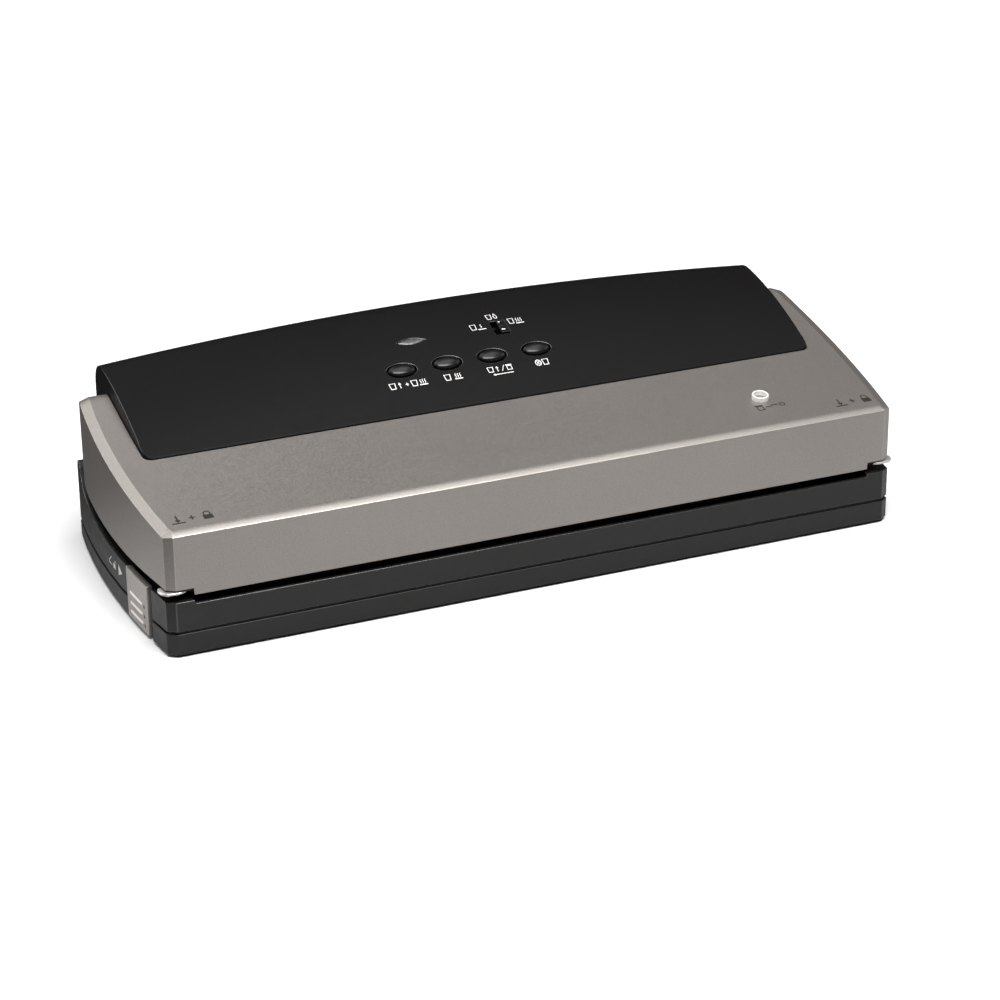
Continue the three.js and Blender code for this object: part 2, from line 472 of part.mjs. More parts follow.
// lower edge of the lid's sides, from front to back
const SKIRT = [[-95, NOTCH_Z], [-70, NOTCH_Z], [-30, 34.9], [0, 35.2], [18, 35.9], [40, 37.0], [54, 38.6], [60, 41.6],
  [64, 45.4], [67.1, 48.7], [70, 53.5], [71.5, 56.4]];
{
  let c = lidSolid(0, BAND_BOTTOM_Z);
  c = cut(c, lidSolid(LID_T, 20));
  // room for the control panel
  c = cut(c, panelSolid(0, 20, PANEL_GAP));
  c = cut(c, box(-PANEL_X - PANEL_GAP, PANEL_X + PANEL_GAP, -4, 90, 20, 72));
  const low = [[-95, 20], ...SKIRT, [95, 56.4], [95, 20]];
  c = cut(c, prismX(low.slice().reverse(), POST_X, 230), prismX(low.slice().reverse(), -230, -POST_X));
  c = cut(c, at(portFrame, cylZ(0, 0, -12, 12, PORT_R + 0.6, 24)));
  add('lid_cover', c, 0x85807b, 0.38, 0.7);
}
{
  let p = panelSolid(0, 47.6);
  p = cut(p, panelSolid(PANEL_T, 20));
  // the front edge and the ends stop just inside the cover
  p = cut(p, box(-190, 190, -20, 71, 20, 66), box(-190, 190, -20, 0, 20, 69));
  for (const m of buttonFrames) p = cut(p, at(m, prismZ(ellipse(BUTTON_A + BUTTON_CLEAR, BUTTON_B + BUTTON_CLEAR), -8, 8)));
  p = cut(p, at(lensFrame, prismZ(almond(LENS_A, LENS_B), -8, 8)));
  p = cut(p, at(sliderFrame, box(-SLIDER_W / 2, SLIDER_W / 2, -SLIDER_L / 2, SLIDER_L / 2, -8, 8)));
  add('control_panel', p, 0x242223, 0.42);
}

// liner: under plate with the vacuum opening, the seal strip channel, a skirt
// just inside the cover and the hinge barrel along the rear
const PLATE_Z = 33.0, PLATE_T = 2.4;
{
  const plan = (inset) => {
    const r = [[POST_X, FRONT_Y + inset - 0.6], [CHAMFER_X - inset * 0.6, FRONT_Y + inset - 0.6 + 1.2], [SIDE_X - inset, CHAMFER_Y + inset * 0.4]];
    for (const y of [-60.5, -40.4, -20.3, 0, 20, 40, 54]) r.push([halfWidth(y) - inset, y]);
    r.push([BARREL_X, 56], [BARREL_X, 68]);
    return r.concat(r.slice().reverse().map(([x, y]) => [-x, y]));
  };
  let l = prismZ(plan(4.4), PLATE_Z, PLATE_Z + PLATE_T);
  let skirt = cut(prismZ(plan(4.4), 30.4, 41), prismZ(plan(6.2), 20, 60));
  skirt = cut(skirt, box(-BARREL_X - 6, BARREL_X + 6, 50, 90, 20, 60));
  skirt = cut(skirt, box(-168, 168, -100, -70, 20, 60));
  skirt = cut(skirt, box(-210, -184, -100, -64, 20, PLATE_Z), box(184, 210, -100, -64, 20, PLATE_Z));
  l = join(l, skirt);
  // seal strip channel
  l = join(l, box(-HEATER_X - 3, HEATER_X + 3, HEATER_Y0 - 2.4, HEATER_Y1 + 2.4, PLATE_Z, 37.4));
  l = cut(l, box(-HEATER_X - 0.8, HEATER_X + 0.8, HEATER_Y0 - 0.4, HEATER_Y1 + 0.4, 20, 35.4));
  // opening under the vacuum chamber
  l = cut(l, box(-149.6, 149.6, -47.6, -20.4, 20, 60));
  // hinge barrel: a shell around the hinge line, with solid ends
  let barrel = cylX(HINGE_Y, HINGE_Z, -BARREL_X, BARREL_X, BARREL_R, 32);
  barrel = cut(barrel, cylX(HINGE_Y, HINGE_Z, -BARREL_X + 9, BARREL_X - 9, BARREL_R - 2.2, 32));
  barrel = cut(barrel, prismX([[50, 35.6], [65.5, 35.6], [73.8, 47.0], [77.6, 47.0], [77.6, 60], [50, 60]], -BARREL_X + 9, BARREL_X - 9));
  barrel = cut(barrel, box(-200, 200, 50, 90, 47.0, 60));
  l = join(l, barrel);
  l = cut(l, cylX(HINGE_Y, HINGE_Z, 179.8, 200, PIN_BORE_R, 24), cylX(HINGE_Y, HINGE_Z, -200, -179.8, PIN_BORE_R, 24));
  // posts for the liner screws
  for (const [x, y] of [[-172, -6], [172, -6], [-120, 50], [120, 50]]) {
    l = join(l, cylZ(x, y, PLATE_Z, 52, 3.6, 12));
    l = cut(l, cylZ(x, y, 20, 50, 1.7, 10), cylZ(x, y, 20, PLATE_Z + 1.4, 3.2, 14));
  }
  // seats for the motor and the transformer
  l = join(l, box(40, 76, 29, 45, PLATE_Z, 42.3), box(-112, -62, 20, 58, PLATE_Z, 38));
  add('lid_liner', l, 0x2a2929, 0.6);
}
// chamber cap: a shallow cover, open below, welded over the liner's opening
{
  let c = box(-152, 152, -50, -18, PLATE_Z + PLATE_T + 0.3, 46);
  c = cut(c, box(-149.6, 149.6, -47.6, -20.4, 20, 43.6));
  c = cut(c, cylZ(96, -26, 40, 60, 1.8, 16));
  add('vacuum_chamber_cap', c, 0x2a2929, 0.6);
}
{
  let i = 1;
  for (const [n, x, y] of [['front_left', -172, -6], ['front_right', 172, -6], ['rear_left', -120, 50], ['rear_right', 120, 50]]) {
    let s = join(cylZ(x, y, PLATE_Z - 0.4, PLATE_Z + 1.1, 2.8, 12), cylZ(x, y, PLATE_Z + 0.6, 48, 1.35, 8));
    add('liner_screw_' + n, s, 0x9a9a98, 0.35, 1);
    i++;
  }
}
add('upper_gasket', gasketRing(30.6, PLATE_Z - 0.3), 0x1d1d1f, 0.95);
add('press_strip', box(-HEATER_X, HEATER_X, HEATER_Y0, HEATER_Y1, 29.7, 35.0), 0x5b2220, 0.8);

// hooks under the lid
{
  let h = box(187.6, 190, -44, -36, 22.9, PLATE_Z - 0.3);
  h = join(h, prismX([[-44, 22.9], [-36, 22.9], [-36, 25.6], [-44, 25.6]], 185.6, 188));
  h = join(h, box(180.5, 190, -44, -36, PLATE_Z - 2.3, PLATE_Z - 0.3));
  add('lid_hook_right', h, 0x3c3a39, 0.5);
  add('lid_hook_left', mirrorX(h), 0x3c3a39, 0.5);
}
// bright tabs under the front corners
{
  const t = prismZ([[188.5, -80.4], [192.6, -81.9], [198.6, -81.6], [201.2, -79.0], [202.0, -75.6], [201.0, -72.6], [198.6, -72.2],
    [197.8, -76.8], [193.2, -79.4]], 33.8, 35.1);
  add('corner_tab_right', t, 0xd8d4cf, 0.15, 1);
  add('corner_tab_left', mirrorX(t), 0xd8d4cf, 0.15, 1);
}

// accessory port: an open cup that stands out of the cover, with a nipple below
{
  let p = join(cylZ(0, 0, -5, PORT_TOP, PORT_R, 24), cylZ(0, 0, -13, -4, 3.1, 16));
  p = cut(p, cylZ(0, 0, PORT_TOP - 3.4, 10, PORT_R - 0.9, 24), cylZ(0, 0, -20, 10, PORT_BORE_R, 16));
  add('accessory_port', at(portFrame, p), 0xe8e6e2, 0.35);
}
// indicator lens and its lamp
add('indicator_lens', at(lensFrame, prismZ(almond(LENS_A - 0.7, LENS_B - 0.55), -2.4, 0.5)), 0xc9cccf, 0.1);

// control board, parallel to the row of keys
const BOARD_TOP = -9.9;
add('control_board', at(ROW, box(-62, 60, -12, 40, BOARD_TOP - 1.6, BOARD_TOP)), 0x1f5a34, 0.6);
const BUTTON_NAMES = ['vacuum_seal', 'seal', 'accessory', 'cancel'];
BUTTON_X.forEach((x, i) => {
  // key: oval dome on an oval body with a flange under the panel
  const dome = new THREE.SphereGeometry(1, 20, 6);
  dome.rotateX(Math.PI / 2);
  dome.scale(BUTTON_A, BUTTON_B, 1.7);
  let b = join(prismZ(ellipse(BUTTON_A, BUTTON_B), -4.7, 0), solid(dome));
  b = join(b, prismZ(ellipse(BUTTON_A + 1.6, BUTTON_B + 1.6), -4.7, -2.7));
  add('button_' + BUTTON_NAMES[i], at(buttonFrames[i], b), 0x111112, 0.18);
  const o = new THREE.Matrix4().copy(ROW).invert().multiply(buttonFrames[i]);
  const dz = new THREE.Vector3().setFromMatrixPosition(o);
  let t = join(box(dz.x - 3, dz.x + 3, dz.y - 3, dz.y + 3, BOARD_TOP + 0.3, -7.0), cylZ(dz.x, dz.y, -7.5, dz.z - 6.2, 1.6, 14));
  add('tact_switch_' + BUTTON_NAMES[i], at(ROW, t), 0x555350, 0.5);
});
{
  const inv = new THREE.Matrix4().copy(ROW).invert();
  const l = new THREE.Vector3(LENS_X, LENS_Y, panelZ(LENS_X, LENS_Y)).applyMatrix4(inv);
  add('indicator_led', at(ROW, join(cylZ(l.x, l.y, BOARD_TOP + 0.3, -5.6, 2.0, 16), cylZ(l.x, l.y, BOARD_TOP + 0.3, BOARD_TOP + 1.2, 2.5, 16))), 0xbfe0c0, 0.2);
}
// slide switch: body on the board, knob in the window
{
  let b = box(-5.4, 5.4, -4.4, 4.4, -8.0, -3.6);
  b = cut(b, box(-3.9, 4.4, -2.6, 2.6, -6.4, 0));
  add('slide_switch_body', at(sliderFrame, b), 0x4a4a4c, 0.5);
  // ridged knob, at rest to the right
  let kn = box(-0.9, 3.9, -4.9, 4.9, -2.9, 0.6);
  kn = join(kn, box(-0.3, 3.3, -2.0, 2.0, -6.0, -2.5));
  for (const y of [-3, 0, 3]) kn = join(kn, box(-0.4, 3.4, y - 0.45, y + 0.45, 0.5, 1.15));
  add('seal_time_slider', at(sliderFrame, kn), 0x161616, 0.3);
}

// pump: motor, crank and head in a row, hoses to the pocket and the port
const PUMP_Y = 37, PUMP_Z = 57, MOTOR_R = 14;
{
  let m = cylX(PUMP_Y, PUMP_Z, 38, 77, MOTOR_R, 28);
  m = join(m, cylX(PUMP_Y, PUMP_Z, 36, 79, 5, 20));
  m = cut(m, cylX(PUMP_Y, PUMP_Z, 70, 90, 1.9, 16));
  add('pump_motor', m, 0x8f9193, 0.35, 0.9);
  let h = box(81, 112, PUMP_Y - 15, PUMP_Y + 15, 41, 72);
  h = cut(h, cylX(PUMP_Y, PUMP_Z, 70, 101, 9, 28));
  h = join(h, cylZ(96, PUMP_Y - 8, 70, 77, 2.6, 16), cylZ(104, PUMP_Y - 8, 70, 77, 2.6, 16));
  h = cut(h, cylZ(96, PUMP_Y - 8, 73, 90, 1.4, 12), cylZ(104, PUMP_Y - 8, 73, 90, 1.4, 12));
  add('pump_head', h, 0x2f3133, 0.5);
  let c = join(cylX(PUMP_Y, PUMP_Z, 72, 88, 1.5, 16), cylX(PUMP_Y, PUMP_Z, 84, 92, 5, 24), cylX(PUMP_Y, PUMP_Z - 2.6, 90, 99, 2.2, 16));
  add('pump_crank', c, 0xa9abad, 0.3, 1);
}
function hose(points, r, bore, steps, sides = 8) {
  const curve = new THREE.CatmullRomCurve3(points.map((p) => new THREE.Vector3(...p)), false, 'centripetal');
  const ring = (q) => { const a = []; for (let i = 0; i < sides; i++) a.push(new THREE.Vector2(q * Math.cos(2 * Math.PI * i / sides), q * Math.sin(2 * Math.PI * i / sides))); return a; };
  const s = new THREE.Shape(ring(r));
  s.holes.push(new THREE.Path(ring(bore)));
  return new THREE.ExtrudeGeometry(s, { steps, bevelEnabled: false, extrudePath: curve });
}
// from the pump's suction side down to the vacuum pocket
add('vacuum_hose', solid(hose([[96, 29, 77.8], [96, 28.6, 81.0], [96, 21, 82.5], [96, 10, 74], [96, -8, 62], [96, -21, 55], [96, -26, 51], [96, -26, 46.3]], 2.4, 1.3, 16, 6)), 0xd9d6cd, 0.6);
{
  const tip = new THREE.Vector3(0, 0, -13.3).applyMatrix4(portFrame), t2 = new THREE.Vector3(0, 0, -16).applyMatrix4(portFrame);
  add('accessory_hose', solid(hose([[104, 29, 77.8], [104.3, 28.4, 81.2], [108, 18, 81], [118, 3, 69], [130, -18, 57], [136, -38, 51.5], [t2.x, t2.y, t2.z - 1.5], [tip.x, tip.y, tip.z]], 2.4, 1.3, 17, 6)), 0xd9d6cd, 0.6);
}
// transformer: laminated core around a bobbin
{
  let t = box(-110, -64, 22, 56, 38.3, 72);
  t = cut(t, box(-120, -50, 20, 27, 44, 66), box(-120, -50, 51, 60, 44, 66));
  t = join(t, box(-104, -70, 24, 54, 45, 65));
  add('power_transformer', t, 0x5a4632, 0.6, 0.4);
}

export default group;
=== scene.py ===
# Looks for the vacuum packing machine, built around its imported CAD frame.
# Lengths in this file are in millimetres until they reach a mesh (MM = 0.001).
import bpy
import bmesh
import json
import math
from mathutils import Matrix, Vector


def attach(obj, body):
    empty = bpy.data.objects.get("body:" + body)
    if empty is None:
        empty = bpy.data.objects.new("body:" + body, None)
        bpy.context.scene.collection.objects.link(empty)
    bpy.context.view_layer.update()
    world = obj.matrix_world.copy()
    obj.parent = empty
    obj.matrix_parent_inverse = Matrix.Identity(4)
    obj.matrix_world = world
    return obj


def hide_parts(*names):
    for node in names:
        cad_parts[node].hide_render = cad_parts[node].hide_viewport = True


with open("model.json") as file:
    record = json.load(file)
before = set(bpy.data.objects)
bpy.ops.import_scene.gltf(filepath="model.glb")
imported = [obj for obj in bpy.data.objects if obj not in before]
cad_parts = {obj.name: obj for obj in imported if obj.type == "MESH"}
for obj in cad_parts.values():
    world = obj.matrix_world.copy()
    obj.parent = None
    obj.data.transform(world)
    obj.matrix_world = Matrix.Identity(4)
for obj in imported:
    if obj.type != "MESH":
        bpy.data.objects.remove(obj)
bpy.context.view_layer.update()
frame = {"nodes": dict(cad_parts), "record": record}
MM = 0.001
NODES = frame["nodes"]
RECORD = frame["record"]
BODY = {n: b for b, ns in RECORD["behaviour"]["bodies"].items() for n in ns}
SLOT = {s["node"]: s["material_slot"] for s in RECORD["subparts"]}
COLL = bpy.context.scene.collection

# ------------------------------------------------------------------ camera
cam_data = bpy.data.cameras.new("camera")
cam_data.lens = 106.453
cam_data.sensor_width = 36.0
cam_data.clip_start, cam_data.clip_end = 0.05, 50.0
cam = bpy.data.objects.new("camera", cam_data)
COLL.objects.link(cam)
R = Vector((0.92114397, -0.38912155, -0.00884344))
U = Vector((0.16756542, 0.37595529, 0.91136132))
F = Vector((0.35130559, 0.84097684, -0.41151226))
C = Vector((-0.5434, -1.3232, 0.6608))
cam.matrix_world = Matrix((
    (R.x, U.x, -F.x, C.x), (R.y, U.y, -F.y, C.y), (R.z, U.z, -F.z, C.z), (0, 0, 0, 1)))
bpy.context.scene.camera = cam

# ---------------------------------------------------------- shape functions
FRONT_Y, BACK_Y = -82.0, 82.0
CHAMFER_X, CHAMFER_Y, SIDE_X = 193.9, -78.7, 198.4
PANEL_X, PANEL_Y0, PANEL_CROWN = 186.5, -12.1, 8.1
K = 0.9679


def half_width(y):
    u = (y - CHAMFER_Y) / 96.8
    return SIDE_X + 14.21 * u - 8.17 * u * u - 0.374 * u ** 3


def side_top(y):
    u = (y - CHAMFER_Y) / K / 100
    return K * (64.44 + 12.97 * u + 1.55 * u * u + 1.05 * u ** 3) + 1.5


def panel_z(x, y):
    u = (y - PANEL_Y0) / K / 100
    z = K * (77.08 + 48.69 * u - 24.25 * u * u) + 1.5
    return z + PANEL_CROWN * min(1.0, u / 0.7925) * (1 - (x / PANEL_X) ** 2)


def top_z(y):
    return side_top(y) + 1.94


def panel_matrix(x, y):
    d = 1.0
    zx = (panel_z(x + d, y) - panel_z(x - d, y)) / 2
    zy = (panel_z(x, y + d) - panel_z(x, y - d)) / 2
    n = Vector((-zx, -zy, 1)).normalized()
    u = Vector((1, 0, zx)).normalized()
    v = n.cross(u)
    m = Matrix((u, v, n)).transposed().to_4x4()
    m.translation = Vector((x, y, panel_z(x, y)))
    return m


def row_matrix(x):
    m = panel_matrix(0, 14.7)
    m.translation = Vector((x, 14.7, panel_z(x, 14.7)))
    return m


def interp(table, v):
    if v <= table[0][0]:
        return table[0][1]
    for (a, fa), (b, fb) in zip(table, table[1:]):
        if v <= b:
            return fa + (fb - fa) * (v - a) / (b - a)
    return table[-1][1]


# ---------------------------------------------------------------- materials
class Mat:
    """A principled material with procedural variation in object space."""

    def __init__(self, name, color, rough, metal=0.0, spec=0.5):
        self.m = bpy.data.materials.new(name)
        self.m.use_nodes = True
        self.t = self.m.node_tree
        self.n, self.l = self.t.nodes, self.t.links
        self.p = self.n["Principled BSDF"]
        self.p.inputs["Base Color"].default_value = (*color, 1)
        self.p.inputs["Roughness"].default_value = rough
        self.p.inputs["Metallic"].default_value = metal
        self.p.inputs["Specular IOR Level"].default_value = spec
        self.color, self.rough = color, rough
        self.co = self.n.new("ShaderNodeTexCoord").outputs["Object"]
        self.normal = None
        self.colour_out = None
        self.rough_out = None

    def noise(self, scale, detail=2.0, rough=0.5, stretch=None, distortion=0.0):
        t = self.n.new("ShaderNodeTexNoise")
        t.inputs["Scale"].default_value = scale
        t.inputs["Detail"].default_value = detail
        t.inputs["Roughness"].default_value = rough
        t.inputs["Distortion"].default_value = distortion
        if stretch:
            m = self.n.new("ShaderNodeMapping")
            m.inputs["Scale"].default_value = stretch
            self.l.new(self.co, m.inputs["Vector"])
            self.l.new(m.outputs["Vector"], t.inputs["Vector"])
        else:
            self.l.new(self.co, t.inputs["Vector"])
        return t.outputs["Fac"]

    def voronoi(self, scale, feature="F1"):
        t = self.n.new("ShaderNodeTexVoronoi")
        t.feature = feature
        t.inputs["Scale"].default_value = scale
        self.l.new(self.co, t.inputs["Vector"])
        return t.outputs["Distance"]

    def remap(self, src, a, b, lo, hi):
        r = self.n.new("ShaderNodeMapRange")
        self.l.new(src, r.inputs["Value"])
        for k, v in (("From Min", a), ("From Max", b), ("To Min", lo), ("To Max", hi)):
            r.inputs[k].default_value = v
        return r.outputs["Result"]

    def vary_color(self, src, amount, tint=None, lo=0.3, hi=0.7):
        """Multiply the colour by 1 +- amount, driven by src."""
        f = self.remap(src, lo, hi, 1 - amount, 1 + amount)
        mix = self.n.new("ShaderNodeMix")
        mix.data_type = "RGBA"
        mix.blend_type = "MULTIPLY"
        mix.inputs["Factor"].default_value = 1.0
        if self.colour_out is None:
            mix.inputs["A"].default_value = (*self.color, 1)
        else:
            self.l.new(self.colour_out, mix.inputs["A"])
        comb = self.n.new("ShaderNodeCombineColor")
        for i, k in enumerate(("Red", "Green", "Blue")):
            if tint and tint[i] != 1:
                s = self.n.new("ShaderNodeMath")
                s.operation = "MULTIPLY"
                s.inputs[1].default_value = tint[i]
                self.l.new(f, s.inputs[0])
                self.l.new(s.outputs[0], comb.inputs[k])
            else:
                self.l.new(f, comb.inputs[k])
        self.l.new(comb.outputs["Color"], mix.inputs["B"])
        self.colour_out = mix.outputs["Result"]
        self.l.new(self.colour_out, self.p.inputs["Base Color"])
        return self

    def blend_color(self, src, color, lo, hi, amount=1.0):
        """Mix towards another colour where src is between lo and hi and above."""
        f = self.remap(src, lo, hi, 0, amount)
        mix = self.n.new("ShaderNodeMix")
        mix.data_type = "RGBA"
        if self.colour_out is None:
            mix.inputs["A"].default_value = (*self.color, 1)
        else:
            self.l.new(self.colour_out, mix.inputs["A"])
        mix.inputs["B"].default_value = (*color, 1)
        self.l.new(f, mix.inputs["Factor"])
        self.colour_out = mix.outputs["Result"]
        self.l.new(self.colour_out, self.p.inputs["Base Color"])
        return self

    def vary_rough(self, src, amount, lo=0.3, hi=0.7):
        f = self.remap(src, lo, hi, self.rough - amount, self.rough + amount)
        self.l.new(f, self.p.inputs["Roughness"])
        return self

    def bump(self, src, strength, distance):
        b = self.n.new("ShaderNodeBump")
        b.inputs["Strength"].default_value = strength
        b.inputs["Distance"].default_value = distance
        self.l.new(src, b.inputs["Height"])
        if self.normal is not None:
            self.l.new(self.normal, b.inputs["Normal"])
        self.normal = b.outputs["Normal"]
        self.l.new(self.normal, self.p.inputs["Normal"])
        return self

    def coat(self, weight, rough=0.08):
        self.p.inputs["Coat Weight"].default_value = weight
        self.p.inputs["Coat Roughness"].default_value = rough
        return self


def silver(name, color=(0.36, 0.335, 0.315), rough=0.44):
    m = Mat(name, color, rough, metal=0.9, spec=0.5)
    grain = m.noise(1900, 3, 0.6)
    flake = m.noise(4200, 1, 0.5)
    cloud = m.noise(14, 2, 0.5)
    m.vary_color(grain, 0.13, lo=0.32, hi=0.68)
    m.vary_color(flake, 0.07, lo=0.35, hi=0.65)
    m.vary_color(cloud, 0.03, tint=(1.0, 0.995, 0.985))
    m.vary_rough(m.noise(900, 2, 0.5), 0.05)
    m.bump(grain, 0.16, 0.00004)
    m.bump(m.noise(300, 2, 0.5), 0.05, 0.00008)
    return m.m


def moulded(name, color, rough, grain=1500, depth=0.00005, strength=0.35, spec=0.45, var=0.08):
    """Moulded plastic with a spark-eroded texture."""
    m = Mat(name, color, rough, spec=spec)
    fine = m.noise(grain, 3, 0.55)
    cell = m.voronoi(grain * 0.9)
    m.vary_color(fine, var, lo=0.3, hi=0.7)
    m.vary_color(m.noise(22, 2, 0.5), 0.05)
    m.vary_rough(m.noise(160, 3, 0.6), 0.05)
    m.bump(fine, strength, depth)
    m.bump(cell, strength * 0.5, depth)
    return m.m


def rubber(name, color, rough=0.85, pores=900, depth=0.0001):
    m = Mat(name, color, rough, spec=0.3)
    p = m.noise(pores, 4, 0.65)
    m.vary_color(p, 0.22)
    m.vary_color(m.noise(40, 2, 0.5), 0.06)
    m.vary_rough(m.noise(200, 2, 0.5), 0.06)
    m.bump(p, 0.45, depth)
    return m.m


def metal(name, color, rough, stretch=(1, 60, 60), scale=40, aniso=0.3):
    m = Mat(name, color, rough, metal=1.0)
    b = m.noise(scale, 3, 0.6, stretch=stretch)
    m.vary_color(b, 0.07)
    m.vary_rough(b, 0.06)
    m.vary_rough(m.noise(500, 2, 0.5), 0.05)
    m.bump(b, 0.08, 0.00003)
    m.p.inputs["Anisotropic"].default_value = aniso
    return m.m


MATS = {}


def build_materials():
    M = MATS
    M["lid_silver"] = silver("silver_paint")
    M["release_silver"] = silver("release_silver_paint", (0.5, 0.465, 0.44), 0.42)
    # pale rib colour: a painted highlight on the raised ribs
    M["rib_silver"] = moulded("rib_pale_painted_highlight", (0.86, 0.83, 0.8), 0.35, spec=0.6)
    # bevel-strip materials, lighter and glossier than their surfaces: a painted edge highlight
    M["silver_edge_highlight"] = silver("silver_paint_painted_highlight", (0.42, 0.395, 0.37), 0.38)
    M["housing_edge_highlight"] = moulded("housing_painted_edge_highlight", (0.016, 0.0155, 0.015), 0.27, grain=1900, depth=0.00002, strength=0.15, spec=0.85)
    M["panel_edge_highlight"] = moulded("panel_painted_edge_highlight", (0.014, 0.0135, 0.0135), 0.24, grain=2200, depth=0.00002, strength=0.15, spec=0.9)
    M["panel_plastic"] = moulded("panel_black", (0.0052, 0.0047, 0.0049), 0.5, grain=2200, depth=0.00003, strength=0.35, spec=0.09)
    M["housing_plastic"] = moulded("housing_charcoal", (0.0085, 0.0081, 0.0079), 0.42, grain=1900, depth=0.00004, spec=0.5)
    M["pan_plastic"] = moulded("pan_charcoal", (0.0085, 0.0081, 0.0079), 0.42, grain=1900, depth=0.00004, spec=0.5)
    M["liner_plastic"] = moulded("liner_black", (0.016, 0.016, 0.016), 0.55, grain=1400)
    M["tray_plastic"] = moulded("tray_grey", (0.045, 0.044, 0.043), 0.32, grain=500, depth=0.00002, strength=0.15)
    M["latch_plastic"] = moulded("latch_nylon", (0.03, 0.03, 0.03), 0.45)
    M["gland_plastic"] = moulded("gland_black", (0.012, 0.012, 0.012), 0.5)
    M["switch_plastic"] = moulded("switch_grey", (0.12, 0.115, 0.11), 0.5)
    M["switch_red"] = moulded("switch_red_brown", (0.2, 0.04, 0.03), 0.45)
    M["pump_plastic"] = moulded("pump_nylon", (0.04, 0.043, 0.048), 0.5)
    M["heater_support"] = moulded("heater_laminate", (0.09, 0.06, 0.04), 0.6)
    M["foot_rubber"] = rubber("foot_rubber", (0.013, 0.013, 0.013))
    M["gasket_foam"] = rubber("gasket_foam", (0.02, 0.02, 0.021), 0.92, pores=1300, depth=0.00018)
    M["silicone"] = rubber("silicone_strip", (0.022, 0.021, 0.021), 0.6, pores=500, depth=0.00003)
    M["hose_silicone"] = rubber("hose_silicone", (0.6, 0.58, 0.53), 0.35, pores=300, depth=0.00001)
    M["steel"] = metal("steel", (0.5, 0.5, 0.49), 0.3)
    M["motor_can"] = metal("motor_can", (0.42, 0.42, 0.43), 0.32)
    M["heater_metal"] = metal("heater_strip", (0.5, 0.47, 0.43), 0.35, stretch=(60, 2, 60))
    M["transformer_core"] = metal("varnished_core", (0.16, 0.1, 0.06), 0.45, stretch=(120, 1, 1))
    ch = Mat("bright_chrome", (0.8, 0.78, 0.76), 0.3, metal=0.75)
    ch.vary_rough(ch.noise(250, 2, 0.5), 0.03)
    ch.bump(ch.noise(90, 2, 0.5), 0.03, 0.00003)
    M["chrome_trim"] = ch.m
    g = Mat("key_gloss_black", (0.005, 0.005, 0.0053), 0.3, spec=0.25)
    g.vary_rough(g.noise(500, 3, 0.6), 0.03)
    g.vary_color(g.noise(120, 2, 0.5), 0.1)
    g.bump(g.noise(260, 2, 0.5), 0.03, 0.00003)
    g.coat(0.12, 0.2)
    M["key_gloss"] = g.m
    s = Mat("slider_gloss_black", (0.004, 0.004, 0.0042), 0.28, spec=0.2)
    s.vary_rough(s.noise(700, 3, 0.6), 0.05)
    s.bump(s.noise(900, 2, 0.5), 0.08, 0.00002)
    s.coat(0.1, 0.15)
    M["slider_gloss"] = s.m
    ln = Mat("lens_clear_over_silver", (0.12, 0.12, 0.12), 0.3, metal=0.5)
    ln.vary_color(ln.noise(700, 1, 0.5, stretch=(1, 0.15, 1)), 0.3)
    ln.bump(ln.noise(600, 1, 0.5, stretch=(1, 0.1, 1)), 0.15, 0.0001)
    ln.coat(0.35, 0.12)
    M["lens_clear"] = ln.m
    pw = Mat("port_white", (0.78, 0.77, 0.745), 0.26, spec=0.5)
    pw.vary_color(pw.noise(60, 2, 0.5), 0.03)
    pw.vary_rough(pw.noise(400, 2, 0.5), 0.04)
    pw.bump(pw.noise(700, 2, 0.5), 0.05, 0.00002)
    pw.p.inputs["Subsurface Weight"].default_value = 0.08
    pw.p.inputs["Subsurface Radius"].default_value = (0.001, 0.0008, 0.0007)
    M["port_white"] = pw.m
    pt = Mat("ptfe_glass_cloth", (0.07, 0.05, 0.035), 0.5, spec=0.4)
    wv = pt.n.new("ShaderNodeTexWave")
    wv.inputs["Scale"].default_value = 900
    pt.l.new(pt.co, wv.inputs["Vector"])
    pt.vary_color(wv.outputs["Fac"], 0.12, lo=0, hi=1)
    pt.vary_color(pt.noise(30, 3, 0.6), 0.1)
    pt.bump(wv.outputs["Fac"], 0.3, 0.00004)
    M["ptfe"] = pt.m
    bd = Mat("board_green", (0.02, 0.12, 0.05), 0.4)
    bd.vary_color(bd.noise(260, 1, 0.5, stretch=(1, 8, 1)), 0.25)
    bd.bump(bd.noise(260, 1, 0.5, stretch=(1, 8, 1)), 0.2, 0.00005)
    M["board_green"] = bd.m
    led = Mat("led_clear", (0.45, 0.7, 0.45), 0.1)
    led.vary_color(led.noise(300), 0.1)
    M["led_clear"] = led.m
    ink = Mat("white_ink", (0.8, 0.79, 0.77), 0.6, spec=0.3)
    ink.vary_color(ink.noise(1800, 3, 0.6), 0.08)
    ink.vary_rough(ink.noise(900), 0.08)
    M["ink_white"] = ink.m
    dk = Mat("dark_ink", (0.018, 0.016, 0.015), 0.6, spec=0.3)
    dk.vary_color(dk.noise(1800, 3, 0.6), 0.15)
    dk.vary_rough(dk.noise(900), 0.08)
    M["ink_dark"] = dk.m


build_materials()


# ------------------------------------------------------------- mesh helpers
def smooth(mesh, angle=35.0):
    for p in mesh.polygons:
        p.use_smooth = True
    mesh.set_sharp_from_angle(angle=math.radians(angle))


